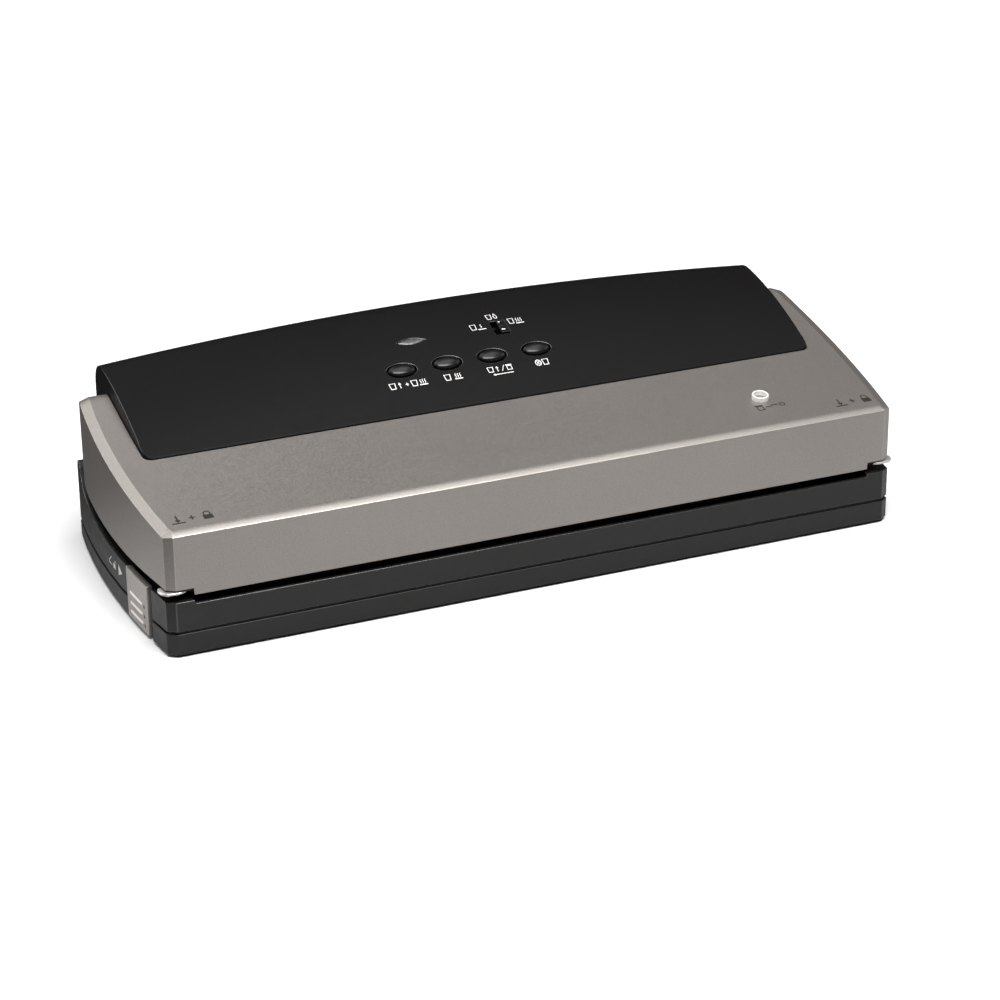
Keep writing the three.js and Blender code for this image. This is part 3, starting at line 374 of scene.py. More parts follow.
def new_piece(name, verts, faces, slot, body, replaces=(), mat=None, angle=35.0):
    """A mesh piece from vertices in millimetres."""
    mesh = bpy.data.meshes.new(name)
    mesh.from_pydata([(x * MM, y * MM, z * MM) for x, y, z in verts], [], faces)
    mesh.validate()
    bm = bmesh.new()
    bm.from_mesh(mesh)
    bmesh.ops.remove_doubles(bm, verts=bm.verts, dist=1e-7)
    bmesh.ops.recalc_face_normals(bm, faces=bm.faces)
    bm.to_mesh(mesh)
    bm.free()
    smooth(mesh, angle)
    mesh.materials.append(mat or MATS[slot])
    obj = bpy.data.objects.new(name, mesh)
    COLL.objects.link(obj)
    if body:
        finish_piece(obj, body, replaces)
    return obj


def finish_piece(obj, body, replaces=()):
    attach(obj, body)
    if replaces:
        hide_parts(*replaces)
    return obj


def add_bevel(obj, width, segments=3, angle=35.0, clamp=False, edge=None):
    """Round the edges. edge: a lighter, glossier material for the rounded strips, a painted edge highlight."""
    b = obj.modifiers.new("bevel", "BEVEL")
    if edge:
        obj.data.materials.append(MATS[edge])
        b.material = len(obj.data.materials) - 1
    b.width = width * MM
    b.segments = segments
    b.limit_method = "ANGLE"
    b.angle_limit = math.radians(angle)
    b.use_clamp_overlap = clamp
    b.miter_outer = "MITER_ARC"
    return b


def weighted(obj):
    w = obj.modifiers.new("normals", "WEIGHTED_NORMAL")
    w.keep_sharp = True
    w.weight = 60


def bake(obj, angle=35.0):
    """Apply the modifiers to the mesh."""
    dg = bpy.context.evaluated_depsgraph_get()
    mesh = bpy.data.meshes.new_from_object(obj.evaluated_get(dg), depsgraph=dg)
    old = obj.data
    obj.modifiers.clear()
    obj.data = mesh
    bpy.data.meshes.remove(old)
    smooth(mesh, angle)
    return obj


# the bevel strips of these pieces take a lighter material: a painted edge highlight
EDGE = {"base_upper_housing": "housing_edge_highlight",
        "release_button_left": "silver_edge_highlight", "release_button_right": "silver_edge_highlight"}


def refined(node, width=0.3, segments=2, angle=32.0, name=None, mat=None, smooth_angle=40.0, cutters=()):
    """A piece with a CAD node's shape, its flat triangles merged and its edges rounded."""
    src = NODES[node]
    bm = bmesh.new()
    bm.from_mesh(src.data)
    bmesh.ops.remove_doubles(bm, verts=bm.verts, dist=2e-6)
    bmesh.ops.dissolve_limit(bm, angle_limit=math.radians(0.6), verts=bm.verts, edges=bm.edges,
                             delimit={"NORMAL"})
    bmesh.ops.recalc_face_normals(bm, faces=bm.faces)
    mesh = bpy.data.meshes.new(name or node + "_body")
    bm.to_mesh(mesh)
    bm.free()
    mesh.materials.append(mat or MATS[SLOT[node]])
    obj = bpy.data.objects.new(name or node + "_body", mesh)
    COLL.objects.link(obj)
    smooth(mesh, smooth_angle)
    if cutters:
        cut_with(obj, cutters)
    if width:
        add_bevel(obj, width, segments, angle, edge=EDGE.get(node))
    bake(obj, smooth_angle)
    weighted(obj)
    finish_piece(obj, BODY[node], [node])
    return obj


# --------------------------------------------------------------- lid cover
SKIRT = [(-90, 36.1), (-70, 36.1), (-50, 35.4), (-30, 34.95), (0, 35.2), (18, 35.8), (40, 37.0), (54, 38.7), (60, 41.4),
         (64, 45.0), (67.1, 48.9), (69.0, 54.0), (69.9, 58.5), (70.4, 64.7)]
PGAP = 0.45
TAIL_Y = 44.0


def cover_outer(y):
    """(half width, side edge z, inner x, inner z) of the lid cover at y."""
    if y < CHAMFER_Y:
        t = (y + 81.6) / (CHAMFER_Y + 81.6)
        hw = CHAMFER_X + (SIDE_X - CHAMFER_X) * t + 0.3
        zs = 64.25 - 0.3 * t
    else:
        hw = half_width(y) + 0.3
        zs = side_top(y)
    if y > TAIL_Y:
        s = min(1.0, (y - TAIL_Y) / (70.4 - TAIL_Y))
        c = math.sqrt(max(0.0, 1 - s * s))
        ell = 64.7 + 21.9 * c
        k = 1.2
        a, b = zs, ell
        h = max(k - abs(a - b), 0) / k
        zs = min(a, b) - h * h * k / 4
        hw -= 6.0 * (1 - c)
    if y <= -76.3:
        t = (y + 81.6) / 5.3
        rise = top_z(-76.3) - 64.25
        xi = hw if y < -81.59 else CHAMFER_X - 0.15
        return hw, min(zs, 64.25 - 0.33 * t), xi, 64.25 + rise * (1.66 * t - 0.66 * t * t)
    rise = 1.94
    if y > TAIL_Y:
        rise = 1.94 * (0.35 + 0.65 * math.sqrt(max(0.0, 1 - min(1.0, (y - TAIL_Y) / (70.4 - TAIL_Y)) ** 2)))
    return hw, zs, hw - 5.0, zs + rise


def make_cover():
    ys = [-81.6, -81.0, -80.4, -79.4, -78.7, -78.1, -77.5, -76.9, -76.3, -75.8, -75, -73.5, -70, -65, -60, -55,
          -50, -45, -40, -35, -30, -25, -20, -16]
    cut_ys = [-12.55, -12.45, -12.1, -11.5, -10.6, -9.4, -7.6, -4, 0, 5, 10, 15, 20, 25, 30, 35, 40, 44]
    for i in range(1, 19):
        cut_ys.append(TAIL_Y + (70.4 - TAIL_Y) * math.sin(i / 18 * math.pi / 2))
    verts, faces = [], []

    def V(x, y, z):
        verts.append((x, y, z))
        return len(verts) - 1

    def section(y, side):
        """outer wall bottom, wall, edge, bevel, crease, top: on one side"""
        hw, zs, xi, zi = cover_outer(y)
        zb = interp(SKIRT, y)
        pts = [(hw, zb), (hw, zb + (zs - zb) * 0.35), (hw, zb + (zs - zb) * 0.8), (hw, zs), (xi, zi)]
        return [V(side * x, y, z) for x, z in pts]

    secs = []
    for y in ys + cut_ys:
        secs.append((y, section(y, -1), section(y, 1)))
    n = len(secs[0][1])
    for (y0, l0, r0), (y1, l1, r1) in zip(secs, secs[1:]):
        for j in range(n - 1):
            faces.append((l0[j], l0[j + 1], l1[j + 1], l1[j]))
            faces.append((r0[j], r1[j], r1[j + 1], r0[j + 1]))
    # front band, with the notch beside each corner
    y0, l0, r0 = secs[0]
    zb = 32.5
    band = [V(-185.2, y0, 36.1), V(-185.0, y0, zb), V(-120, y0, zb), V(0, y0, zb), V(120, y0, zb), V(185.0, y0, zb), V(185.2, y0, 36.1)]
    faces.append(tuple(l0[:]) + tuple(reversed(r0[:])) + tuple(reversed(band)))
    # top between the creases, ahead of the panel
    k = len(ys)
    for (ya, la, ra), (yb, lb, rb) in zip(secs[:k - 1], secs[1:k]):
        faces.append((la[-1], ra[-1], rb[-1], lb[-1]))
    # last strip before the panel, then the wings beside it
    cut = []
    for y in cut_ys:
        d = min(5.0, max(0.0, y - cut_ys[0]))
        x = 181.5 + PGAP + math.sqrt(max(0.0, 25 - (5 - d) ** 2))
        if d >= 5:
            x = PANEL_X + PGAP
        z = cover_outer(y)[3]
        cut.append((V(-x, y, z), V(x, y, z)))
    (ya, la, ra), (yb, lb, rb) = secs[k - 1], secs[k]
    faces.append((la[-1], ra[-1], rb[-1], cut[0][1], cut[0][0], lb[-1]))
    for i in range(len(cut_ys) - 1):
        (_, la, ra), (_, lb, rb) = secs[k + i], secs[k + i + 1]
        faces.append((la[-1], cut[i][0], cut[i + 1][0], lb[-1]))
        faces.append((ra[-1], rb[-1], cut[i + 1][1], cut[i][1]))
    obj = new_piece("lid_cover_shell", verts, faces, "lid_silver", None)
    # its bevel strips take a lighter material: a painted edge highlight
    add_bevel(obj, 0.3, 3, 17, edge="silver_edge_highlight")
    bake(obj, 40)
    s = obj.modifiers.new("thickness", "SOLIDIFY")
    s.thickness = 1.6 * MM
    s.offset = -1
    bake(obj, 40)
    weighted(obj)
    finish_piece(obj, "lid", ["lid_cover"])
    return obj


make_cover()


def tidy(obj, dist):
    """Merge slivers shorter than dist (mm)."""
    bm = bmesh.new()
    bm.from_mesh(obj.data)
    bmesh.ops.remove_doubles(bm, verts=bm.verts, dist=dist * MM)
    bmesh.ops.dissolve_degenerate(bm, dist=dist * MM, edges=bm.edges)
    bm.to_mesh(obj.data)
    bm.free()


# ------------------------------------------------------------ control panel
def panel_section(x):
    ax = abs(x)
    r = max(0.0, ax - 181.5)
    y0 = PANEL_Y0 + (5 - math.sqrt(max(0.0, 25 - min(r, 5.0) ** 2)))
    zf = panel_z(x, y0 + 1.2)
    pts = [(y0, 69.0), (y0, zf - 1.5), (y0 + 0.08, zf - 1.0), (y0 + 0.35, zf - 0.55), (y0 + 0.75, zf - 0.22)]
    ys = [y0 + 1.4, y0 + 3.0] + [-5 + 2.6 * i for i in range(25)]
    for y in ys:
        if y > y0 + 1.3 and y < 60:
            pts.append((y, panel_z(x, y)))
    z60 = panel_z(x, 60)
    crown = PANEL_CROWN * (1 - (ax / PANEL_X) ** 2)
    s = (panel_z(x, 60) - panel_z(x, 59)) if ax < PANEL_X else 0.12
    p0, p1, p2, p3 = (60, z60), (68.5, z60 + 8.5 * s * 0.75), (76, 95.5 + crown), (76, 84 + crown)
    for i in range(0, 15):
        t = i / 14
        a, b, c, d = (1 - t) ** 3, 3 * t * (1 - t) ** 2, 3 * t * t * (1 - t), t ** 3
        pts.append((a * p0[0] + b * p1[0] + c * p2[0] + d * p3[0], a * p0[1] + b * p1[1] + c * p2[1] + d * p3[1]))
    pts += [(76, 72), (76, 60), (76, 47.6)]
    return pts


def ellipse_pts(a, b, n):
    return [(a * math.cos(2 * math.pi * i / n), b * math.sin(2 * math.pi * i / n)) for i in range(n)]


def almond_pts(a, b, n=12):
    p = [(a * (-1 + 2 * i / n), -b * (1 - (-1 + 2 * i / n) ** 2)) for i in range(n + 1)]
    return p + [(a * (-1 + 2 * i / n), b * (1 - (-1 + 2 * i / n) ** 2)) for i in range(n - 1, 0, -1)]


def cutter(name, m, pts, z0, z1):
    n = len(pts)
    verts = [m @ Vector((x, y, z0)) for x, y in pts] + [m @ Vector((x, y, z1)) for x, y in pts]
    faces = [tuple(range(n))[::-1], tuple(range(n, 2 * n))] + [(i, (i + 1) % n, n + (i + 1) % n, n + i) for i in range(n)]
    return new_piece(name, verts, faces, "liner_plastic", None)


def cut_with(obj, cutters):
    for c in cutters:
        b = obj.modifiers.new("cut", "BOOLEAN")
        b.operation = "DIFFERENCE"
        b.solver = "EXACT"
        b.object = c
    bake(obj)
    for c in cutters:
        bpy.data.objects.remove(c)


BUTTON_X = [-39.1, -13.8, 11.7, 37.0]
BUTTON_NAMES = ["vacuum_seal", "seal", "accessory", "cancel"]


def make_panel():
    xs = [-186.5, -186.3, -185.8, -185.0, -184.0, -182.8, -181.5, -178] + [-174 + 6 * i for i in range(20)]
    xs += [-57 + 3 * i for i in range(20)]
    half = sorted(set([x for x in xs if x < 0]))
    xs = half + [0.0] + [-x for x in reversed(half)]
    verts, faces = [], []
    secs = []
    m = None
    for x in xs:
        pts = panel_section(x)
        if m is None:
            m = len(pts)
        # resample so that every section has the same number of points
        secs.append((x, pts))
    m = max(len(p) for _, p in secs)
    for i, (x, pts) in enumerate(secs):
        while len(pts) < m:
            # the rounded corners start further back: split their first long span
            k = 5
            a, b = pts[k], pts[k + 1]
            pts.insert(k + 1, ((a[0] + b[0]) / 2, (a[1] + b[1]) / 2))
        secs[i] = (x, pts)
    for x, pts in secs:
        verts += [(x, y, z) for y, z in pts]
    for i in range(len(secs) - 1):
        for j in range(m - 1):
            a = i * m + j
            faces.append((a, a + 1, a + m + 1, a + m))
    # end walls
    for e, x in ((0, xs[0]), (len(xs) - 1, xs[-1])):
        base = len(verts)
        verts += [(x, 71, 47.6), (x, 71, 66.0), (x, 2, 66.0), (x, 0, 69.0)]
        faces.append(tuple(e * m + j for j in range(m)) + tuple(range(base, base + 4)))
    obj = new_piece("control_panel_cap", verts, faces, "panel_plastic", None)
    s = obj.modifiers.new("thickness", "SOLIDIFY")
    s.thickness = 2.0 * MM
    s.offset = -1
    s.use_even_offset = True
    bake(obj)
    cs = [cutter(f"c{i}", row_matrix(x), ellipse_pts(8.4, 5.05, 64), -7, 7) for i, x in enumerate(BUTTON_X)]
    cs.append(cutter("c_lens", panel_matrix(-26.8, 32.75), almond_pts(8.5, 2.8, 24), -7, 7))
    w, l = 4.25, 5.3
    cs.append(cutter("c_slide", panel_matrix(24.15, 33.15), [(-w, -l), (w, -l), (w, l), (-w, l)], -7, 7))
    cut_with(obj, cs)
    tidy(obj, 0.06)
    # its bevel strips take a lighter material: a painted edge highlight
    add_bevel(obj, 0.35, 3, 40, edge="panel_edge_highlight")
    bake(obj, 40)
    # rounded strips stay inside the end walls and under the surface
    for v in obj.data.vertices:
        v.co.x = max(-PANEL_X * MM, min(PANEL_X * MM, v.co.x))
        v.co.z = min(v.co.z, (panel_z(v.co.x / MM, v.co.y / MM) + 0.02) * MM) if v.co.y < 0.058 else v.co.z
    weighted(obj)
    finish_piece(obj, "lid", ["control_panel"])
    return obj


make_panel()


# ------------------------------------------------------------------ buttons
def make_button(name, x):
    m = row_matrix(x)
    n = 64
    rings = []
    a, b = 7.3, 4.15
    for z, da in ((-4.7, 1.7), (-2.9, 1.7), (-2.7, 1.5), (-2.7, 0.02), (-2.0, 0.0), (-0.35, 0.0)):
        rings.append((a + da, b + da, z))
    H = 1.75
    for i in range(1, 14):
        ph = i / 14 * math.pi / 2
        q = math.cos(ph) ** 0.8
        rings.append((a * q, b * q, -0.35 + (H + 0.35) * math.sin(ph) ** 0.85))
    verts, faces = [], []
    for ra, rb, z in rings:
        for i in range(n):
            t = 2 * math.pi * i / n
            verts.append(m @ Vector((ra * math.cos(t), rb * math.sin(t), z)))
    for k in range(len(rings) - 1):
        for i in range(n):
            faces.append((k * n + i, k * n + (i + 1) % n, (k + 1) * n + (i + 1) % n, (k + 1) * n + i))
    top = len(verts)
    verts.append(m @ Vector((0, 0, H)))
    k = len(rings) - 1
    faces += [(k * n + i, k * n + (i + 1) % n, top) for i in range(n)]
    faces.append(tuple(range(n))[::-1])
    obj = new_piece(f"key_{name}", verts, faces, "key_gloss", f"{name}_key", [f"button_{name}"], angle=50)
    return obj


for nm, bx in zip(BUTTON_NAMES, BUTTON_X):
    make_button(nm, bx)


def make_lens():
    m = panel_matrix(-26.8, 32.75)
    base = almond_pts(7.85, 2.25, 24)
    n = len(base)
    rings = [(1.0, -2.4), (1.0, -0.1), (0.985, 0.12), (0.95, 0.28), (0.85, 0.42), (0.6, 0.5), (0.3, 0.5)]
    verts, faces = [], []
    for s, z in rings:
        for px, py in base:
            verts.append(m @ Vector((px * (1 - (1 - s) * 0.6), py * s, z)))
    for k in range(len(rings) - 1):
        for i in range(n):
            faces.append((k * n + i, k * n + (i + 1) % n, (k + 1) * n + (i + 1) % n, (k + 1) * n + i))
    faces.append(tuple(range(n))[::-1])
    faces.append(tuple(range((len(rings) - 1) * n, len(rings) * n)))
    new_piece("indicator_window", verts, faces, "lens_clear", "lid", ["indicator_lens"], angle=40)


make_lens()


# ----------------------------------------------------------- accessory port
def port_matrix():
    s = math.atan2(side_top(-50.1) - side_top(-52.1), 2)
    m = Matrix.Rotation(s, 4, "X")
    m.translation = Vector((136.4, -51.1, side_top(-51.1) + 1.94))
    return m


def lathe(name, m, profile, slot, body, replaces=(), n=64, closed=True, mat=None, angle=40):
    verts, faces = [], []
    for r, z in profile:
        for i in range(n):
            t = 2 * math.pi * i / n
            verts.append(m @ Vector((r * math.cos(t), r * math.sin(t), z)))
    k = len(profile)
    for j in range(k if closed else k - 1):
        for i in range(n):
            a, b = j * n, ((j + 1) % k) * n
            faces.append((a + i, a + (i + 1) % n, b + (i + 1) % n, b + i))
    return new_piece(name, verts, faces, slot, body, replaces, mat=mat, angle=angle)


lathe("accessory_port_cup", port_matrix(), [
    (2.0, -13), (3.1, -13), (3.1, -5), (4.5, -5), (4.5, 2.0), (4.43, 2.36), (4.24, 2.6), (4.0, 2.7), (3.78, 2.6), (3.62, 2.35),
    (3.58, 2.0), (3.55, 0.2), (3.45, -0.15), (3.3, -0.2), (2.3, -0.2), (2.05, -0.35), (2.0, -0.7)],
    "port_white", "lid", ["accessory_port"])

# --------------------------------------------------- the rest of the object
def base_outline(off, y_back=82.0, r=11.0):
    pts = [(0.0, FRONT_Y - off), (CHAMFER_X + off * 0.7, FRONT_Y - off), (SIDE_X + off, CHAMFER_Y)]
    for y in (-60.5, -40.4, -20.3, 0, 20, 40, 58):
        pts.append((half_width(y) + off, y))
    hw = half_width(y_back - r)
    for i in range(0, 7):
        a = i / 6 * math.pi / 2
        pts.append((hw - r + (r + off) * math.cos(a), y_back - r + (r + off) * math.sin(a)))
    pts.append((0.0, y_back + off))
    return pts + [(-x, y) for x, y in reversed(pts[1:-1])]


def seam_z(y):
    return 13.6 + (10.6 - 13.6) / 164 * (y + 82)


def seam_cutter(depth=1.1, low=1.05, high=0.9):
    inner, outer = base_outline(-depth), base_outline(4.0)
    n = len(inner)
    verts = []
    for pts, dz in ((inner, -low), (outer, -low), (outer, high), (inner, high)):
        verts += [(x, y, seam_z(y) + dz) for x, y in pts]
    faces = []
    for k in range(4):
        a, b = k * n, ((k + 1) % 4) * n
        faces += [(a + i, a + (i + 1) % n, b + (i + 1) % n, b + i) for i in range(n)]
    return new_piece("seam_cutter", verts, faces, "liner_plastic", None)


NICE = {
    "base_lower_pan": (0.45, 3), "base_upper_housing": (0.45, 3), "lid_liner": (0.35, 2), "drip_tray": (0.6, 3),
    "lower_gasket": (1.1, 4), "upper_gasket": (0.7, 3), "heater_bar_support": (0.3, 2), "press_strip": (0.6, 3),
    "release_button_left": (0.4, 3), "release_button_right": (0.4, 3), "corner_tab_left": (0.65, 4), "corner_tab_right": (0.65, 4),
    "cord_gland": (0.25, 2), "lid_hook_left": (0.4, 2), "lid_hook_right": (0.4, 2), "latch_catch_left": (0.3, 2),
    "latch_catch_right": (0.3, 2), "lid_switch_left": (0.4, 2), "lid_switch_right": (0.4, 2), "slide_switch_body": (0.2, 2),
    "seal_time_slider": (0.22, 3), "vacuum_chamber_cap": (0.4, 2), "pump_head": (0.6, 2), "pump_motor": (0.6, 3), "power_transformer": (0.5, 2),
    "control_board": (0.1, 1), "hinge_pin_left": (0.3, 2), "hinge_pin_right": (0.3, 2), "pump_crank": (0.2, 2),
}
MATS["slide_body_black"] = moulded("slide_body_black", (0.006, 0.006, 0.006), 0.5, spec=0.2)
for q in ("front_left", "front_right", "rear_left", "rear_right"):
    NICE["foot_" + q] = (0.5, 3)
    NICE["pan_screw_" + q] = (0.12, 2)
    NICE["liner_screw_" + q] = (0.2, 2)
for nm in BUTTON_NAMES:
    NICE["tact_switch_" + nm] = (0.15, 2)
for node, (w, seg) in ((k, v) for k, v in NICE.items() if k in NODES):
    refined(node, w, seg, cutters=[seam_cutter()] if node == "base_lower_pan" else (),
            mat=MATS["slide_body_black"] if node == "slide_switch_body" else None)
# thin or fully hidden pieces keep their CAD shape
for node in ("heater_element", "ptfe_tape", "indicator_led", "vacuum_hose", "accessory_hose", "release_spring_left", "release_spring_right"):
    o = NODES[node]
    o.data.materials.clear()
    o.data.materials.append(MATS[SLOT[node]])
    for p in o.data.polygons:
        p.use_smooth = node in ("vacuum_hose", "accessory_hose", "release_spring_left", "release_spring_right")

# raised ribs in the release buttons' finger grooves, pale as a painted highlight, with a thin dark disc at the front
# end of each as painted pit shade
def skin_x(obj, y, z, sx):
    """The outer face of a side piece, in millimetres, at (y, z)."""
    hit, at, _, _ = obj.ray_cast(Vector((sx * 0.26, y * MM, z * MM)), Vector((-sx, 0, 0)))
    return abs(at.x) / MM if hit else half_width(y)


for side, sx in (("left", -1), ("right", 1)):
    body_obj = bpy.data.objects[f"release_button_{side}_body"]
    rib_v, rib_f, pit_shade_v, pit_shade_f = [], [], [], []
    for zc in (16.8, 11.4, 6.4):
        ys = [-50.2 + 16.4 * i / 12 for i in range(13)]
        first = len(rib_v)
        prof = [(-0.9, -0.5), (0.2, -0.5), (0.5, -0.36), (0.56, -0.12), (0.46, 0.14), (0.0, 0.6), (-0.9, 0.6)]
        for i, y in enumerate(ys):
            # the skin is read just outside the groove
            x = (skin_x(body_obj, y, zc + 1.6, sx) + skin_x(body_obj, y, zc - 1.6, sx)) / 2
            k = 0.35 if i in (0, 12) else 1.0
            rib_v += [(sx * (x + (px * k if px > 0 else px)), y, zc + pz) for px, pz in prof]
        n = len(prof)
        for i in range(12):
            for j in range(n):
                a, b = first + i * n, first + (i + 1) * n
                rib_f.append((a + j, a + (j + 1) % n, b + (j + 1) % n, b + j))
        rib_f.append(tuple(range(first, first + n))[::-1])
        rib_f.append(tuple(range(first + 12 * n, first + 13 * n)))
        # each pit is a thin dark disc raised on the skin: painted shade in place of a hole
        x = skin_x(body_obj, -52.3, zc - 0.6, sx)
        first = len(pit_shade_v)
        for r, d in ((0.95, 0.03), (0.8, 0.06), (0.5, 0.05), (0.3, 0.04)):
            pit_shade_v += [(sx * (x + d), -52.4 + r * math.cos(math.pi * q / 8), zc - 0.7 + r * math.sin(math.pi * q / 8)) for q in range(16)]
        for j in range(3):
            for q in range(16):
                a, b = first + j * 16, first + (j + 1) * 16
                pit_shade_f.append((a + q, a + (q + 1) % 16, b + (q + 1) % 16, b + q))
        pit_shade_f.append(tuple(range(first + 48, first + 64)))
    rib_body = BODY[f"release_button_{side}"]
    new_piece(f"release_rib_{side}", rib_v, rib_f, "release_silver", rib_body, mat=MATS["rib_silver"], angle=30)
    new_piece(f"release_pit_painted_shade_{side}", pit_shade_v, pit_shade_f, "ink", rib_body, mat=MATS["ink_dark"], angle=30)

# ------------------------------------------------ printed marks, generic ones
def stroke_mesh(name, place, shapes, mat, body, lift=0.035, thick=0.03):
    """Thin printed marks. shapes: ("line", pts, width) or ("fill", pts); place maps (u, v, h) to a point."""
    verts, faces = [], []

    def prism(outline):
        n, b = len(outline), len(verts)
        for h in (lift, lift + thick):
            verts.extend(place(u, v, h) for u, v in outline)
        faces.append(tuple(b + i for i in range(n))[::-1])
        faces.append(tuple(b + n + i for i in range(n)))
        faces.extend((b + i, b + (i + 1) % n, b + n + (i + 1) % n, b + n + i) for i in range(n))

    for sh in shapes:
        if sh[0] == "fill":
            prism(sh[1])
            continue
        pts, w = sh[1], sh[2]
        closed = len(pts) > 2 and (Vector(pts[0]) - Vector(pts[-1])).length < 1e-6
        if closed:
            pts = pts[:-1]
        n = len(pts)
        left, right = [], []
        for i in range(n):
            p = Vector(pts[i])
            a = Vector(pts[i - 1]) if (i > 0 or closed) else None
            c = Vector(pts[(i + 1) % n]) if (i < n - 1 or closed) else None
            d0 = (p - a).normalized() if a is not None else (c - p).normalized()
            d1 = (c - p).normalized() if c is not None else d0
            n0, n1 = Vector((-d0.y, d0.x)), Vector((-d1.y, d1.x))
            m = (n0 + n1)
            m = m / max(0.4, m.length) if m.length > 1e-6 else n0
            k = (w / 2) / max(0.5, m.dot(n0))
            ext = Vector((0, 0))
            if a is None:
                ext = -d1 * w / 2
            if c is None:
                ext = d0 * w / 2
            left.append(tuple(p + m * k + ext))
            right.append(tuple(p - m * k + ext))
        last = n if closed else n - 1
        b = len(verts)
        for h in (lift, lift + thick):
            verts.extend(place(u, v, h) for u, v in left)
            verts.extend(place(u, v, h) for u, v in right)
        L0, R0, L1, R1 = b, b + n, b + 2 * n, b + 3 * n
        for i in range(last):
            j = (i + 1) % n
            faces.append((L0 + i, R0 + i, R0 + j, L0 + j))
            faces.append((L1 + i, L1 + j, R1 + j, R1 + i))
            faces.append((L0 + i, L0 + j, L1 + j, L1 + i))
            faces.append((R0 + i, R1 + i, R1 + j, R0 + j))
        if not closed:
            faces.append((L0, L1, R1, R0))
            e = n - 1
            faces.append((L0 + e, R0 + e, R1 + e, L1 + e))
    return new_piece(name, verts, faces, "ink", body, mat=mat, angle=20)


def ring(cx, cy, r, n=16, a0=0.0, a1=360.0, ry=None):
    m = max(3, int(n * abs(a1 - a0) / 360))
    full = abs(a1 - a0) >= 360
    pts = []
    for i in range(m + (0 if full else 1)):
        a = math.radians(a0 + (a1 - a0) * i / m)
        pts.append((cx + r * math.cos(a), cy + (ry or r) * math.sin(a)))
    if full:
        pts.append(pts[0])
    return pts


def moved(shapes, dx, dy, s=1.0, sy=None):
    sy = s if sy is None else sy
    out = []
    for sh in shapes:
        pts = [(dx + x * s, dy + y * sy) for x, y in sh[1]]
        out.append((sh[0], pts) + tuple(sh[2:]))
    return out


W = 0.42


def glyph_bag(w=W):
    """an upright bag with its mouth open"""
    return [("line", [(-1.6, 1.5), (-1.25, -1.5), (1.25, -1.5), (1.6, 1.5)], w), ("line", [(-1.6, 1.5), (1.6, 1.5)], w * 0.7)]


def glyph_up(w=W):
    return [("line", [(0, -1.4), (0, 1.1)], w), ("fill", [(-0.9, 0.5), (0.9, 0.5), (0, 1.7)])]


def glyph_down(w=W):
    return [("line", [(0, 1.5), (0, -0.6)], w), ("fill", [(-0.95, -0.3), (0, -1.5), (0.95, -0.3)])]


def glyph_seal(w=W, n=3):
    """a seal bar with rising heat"""
    out = [("line", [(-1.9, -1.4), (1.9, -1.4)], w * 1.5)]
    for k in range(n):
        x = (k - (n - 1) / 2) * 1.25
        out.append(("line", [(x - 0.2, -0.6), (x + 0.25, 0.0), (x - 0.25, 0.7), (x + 0.2, 1.4)], w * 0.85))
    return out


def glyph_plus(w=W):
    return [("line", [(-0.7, 0), (0.7, 0)], w), ("line", [(0, -0.7), (0, 0.7)], w)]


def glyph_jar(w=W):
    return [("line", [(-1.3, 0.9), (-1.3, -1.5), (1.3, -1.5), (1.3, 0.9), (-1.3, 0.9)], w * 0.9), ("line", [(-1.6, 1.5), (1.6, 1.5)], w * 1.2)]


def glyph_stop(w=W):
    return [("line", ring(0, 0, 1.55, 20), w), ("line", [(-0.75, -0.75), (0.75, 0.75)], w), ("line", [(-0.75, 0.75), (0.75, -0.75)], w)]


def glyph_lock(w=W, opened=False):
    sh = [("fill", [(-1.35, -1.6), (1.35, -1.6), (1.35, 0.2), (-1.35, 0.2)])]
    dx = 1.5 if opened else 0.0
    sh.append(("line", [(-0.85 + dx, 0.0 if not opened else 0.5)] + ring(dx, 0.75, 0.85, 16, 180, 0) + [(0.85 + dx, 0.0 if not opened else 0.75)], w * 0.9))
    return sh


def glyph_drop(w=W):
    return [("line", [(0, 1.7), (0.85, 0.3)] + ring(0, -0.35, 0.98, 16, 20, -200) + [(-0.85, 0.3), (0, 1.7)], w)]


def on_panel(x0, y0):
    def place(u, v, h):
        m = panel_matrix(x0 + u, y0 + v)
        return tuple(m @ Vector((0, 0, h)))
    return place


def on_top(x0, y0):
    def place(u, v, h):
        return (x0 + u, y0 + v, top_z(y0 + v) + h)
    return place


def on_side(y0, z0, sx=-1):
    def place(u, v, h):
        y = y0 - u
        return (sx * (half_width(y) + 0.8 + h), y, z0 + v)
    return place


PY = 1.12
stroke_mesh("mark_vacuum_seal", on_panel(-39.1, 5.6),
            moved(glyph_bag(), -8.6, 0, 1, PY) + moved(glyph_up(), -4.6, 0, 1, PY) + moved(glyph_plus(), -0.6, 0, 1, PY)
            + moved(glyph_bag(), 3.4, 0, 1, PY) + moved(glyph_seal(), 8.2, 0, 1, PY), MATS["ink_white"], "lid")
stroke_mesh("mark_seal", on_panel(-13.5, 5.6),
            moved(glyph_bag(), -3.6, 0, 1, PY) + moved(glyph_seal(), 2.2, 0, 1, PY), MATS["ink_white"], "lid")
stroke_mesh("mark_accessory", on_panel(12.2, 4.0),
            moved(glyph_bag(), -5.0, 1.9, 0.95, 1.0) + moved(glyph_up(), -1.2, 1.9, 0.95, 1.0) + [("line", [(1.2, 0.4), (3.0, 3.6)], W * 0.8)]
            + moved(glyph_jar(), 5.6, 1.9, 0.95, 1.0)
            + [("line", [(-3.6, -1.4), (6.6, -1.4)], W), ("fill", [(-4.8, -1.4), (-3.4, -0.7), (-3.4, -2.1)])], MATS["ink_white"], "lid")
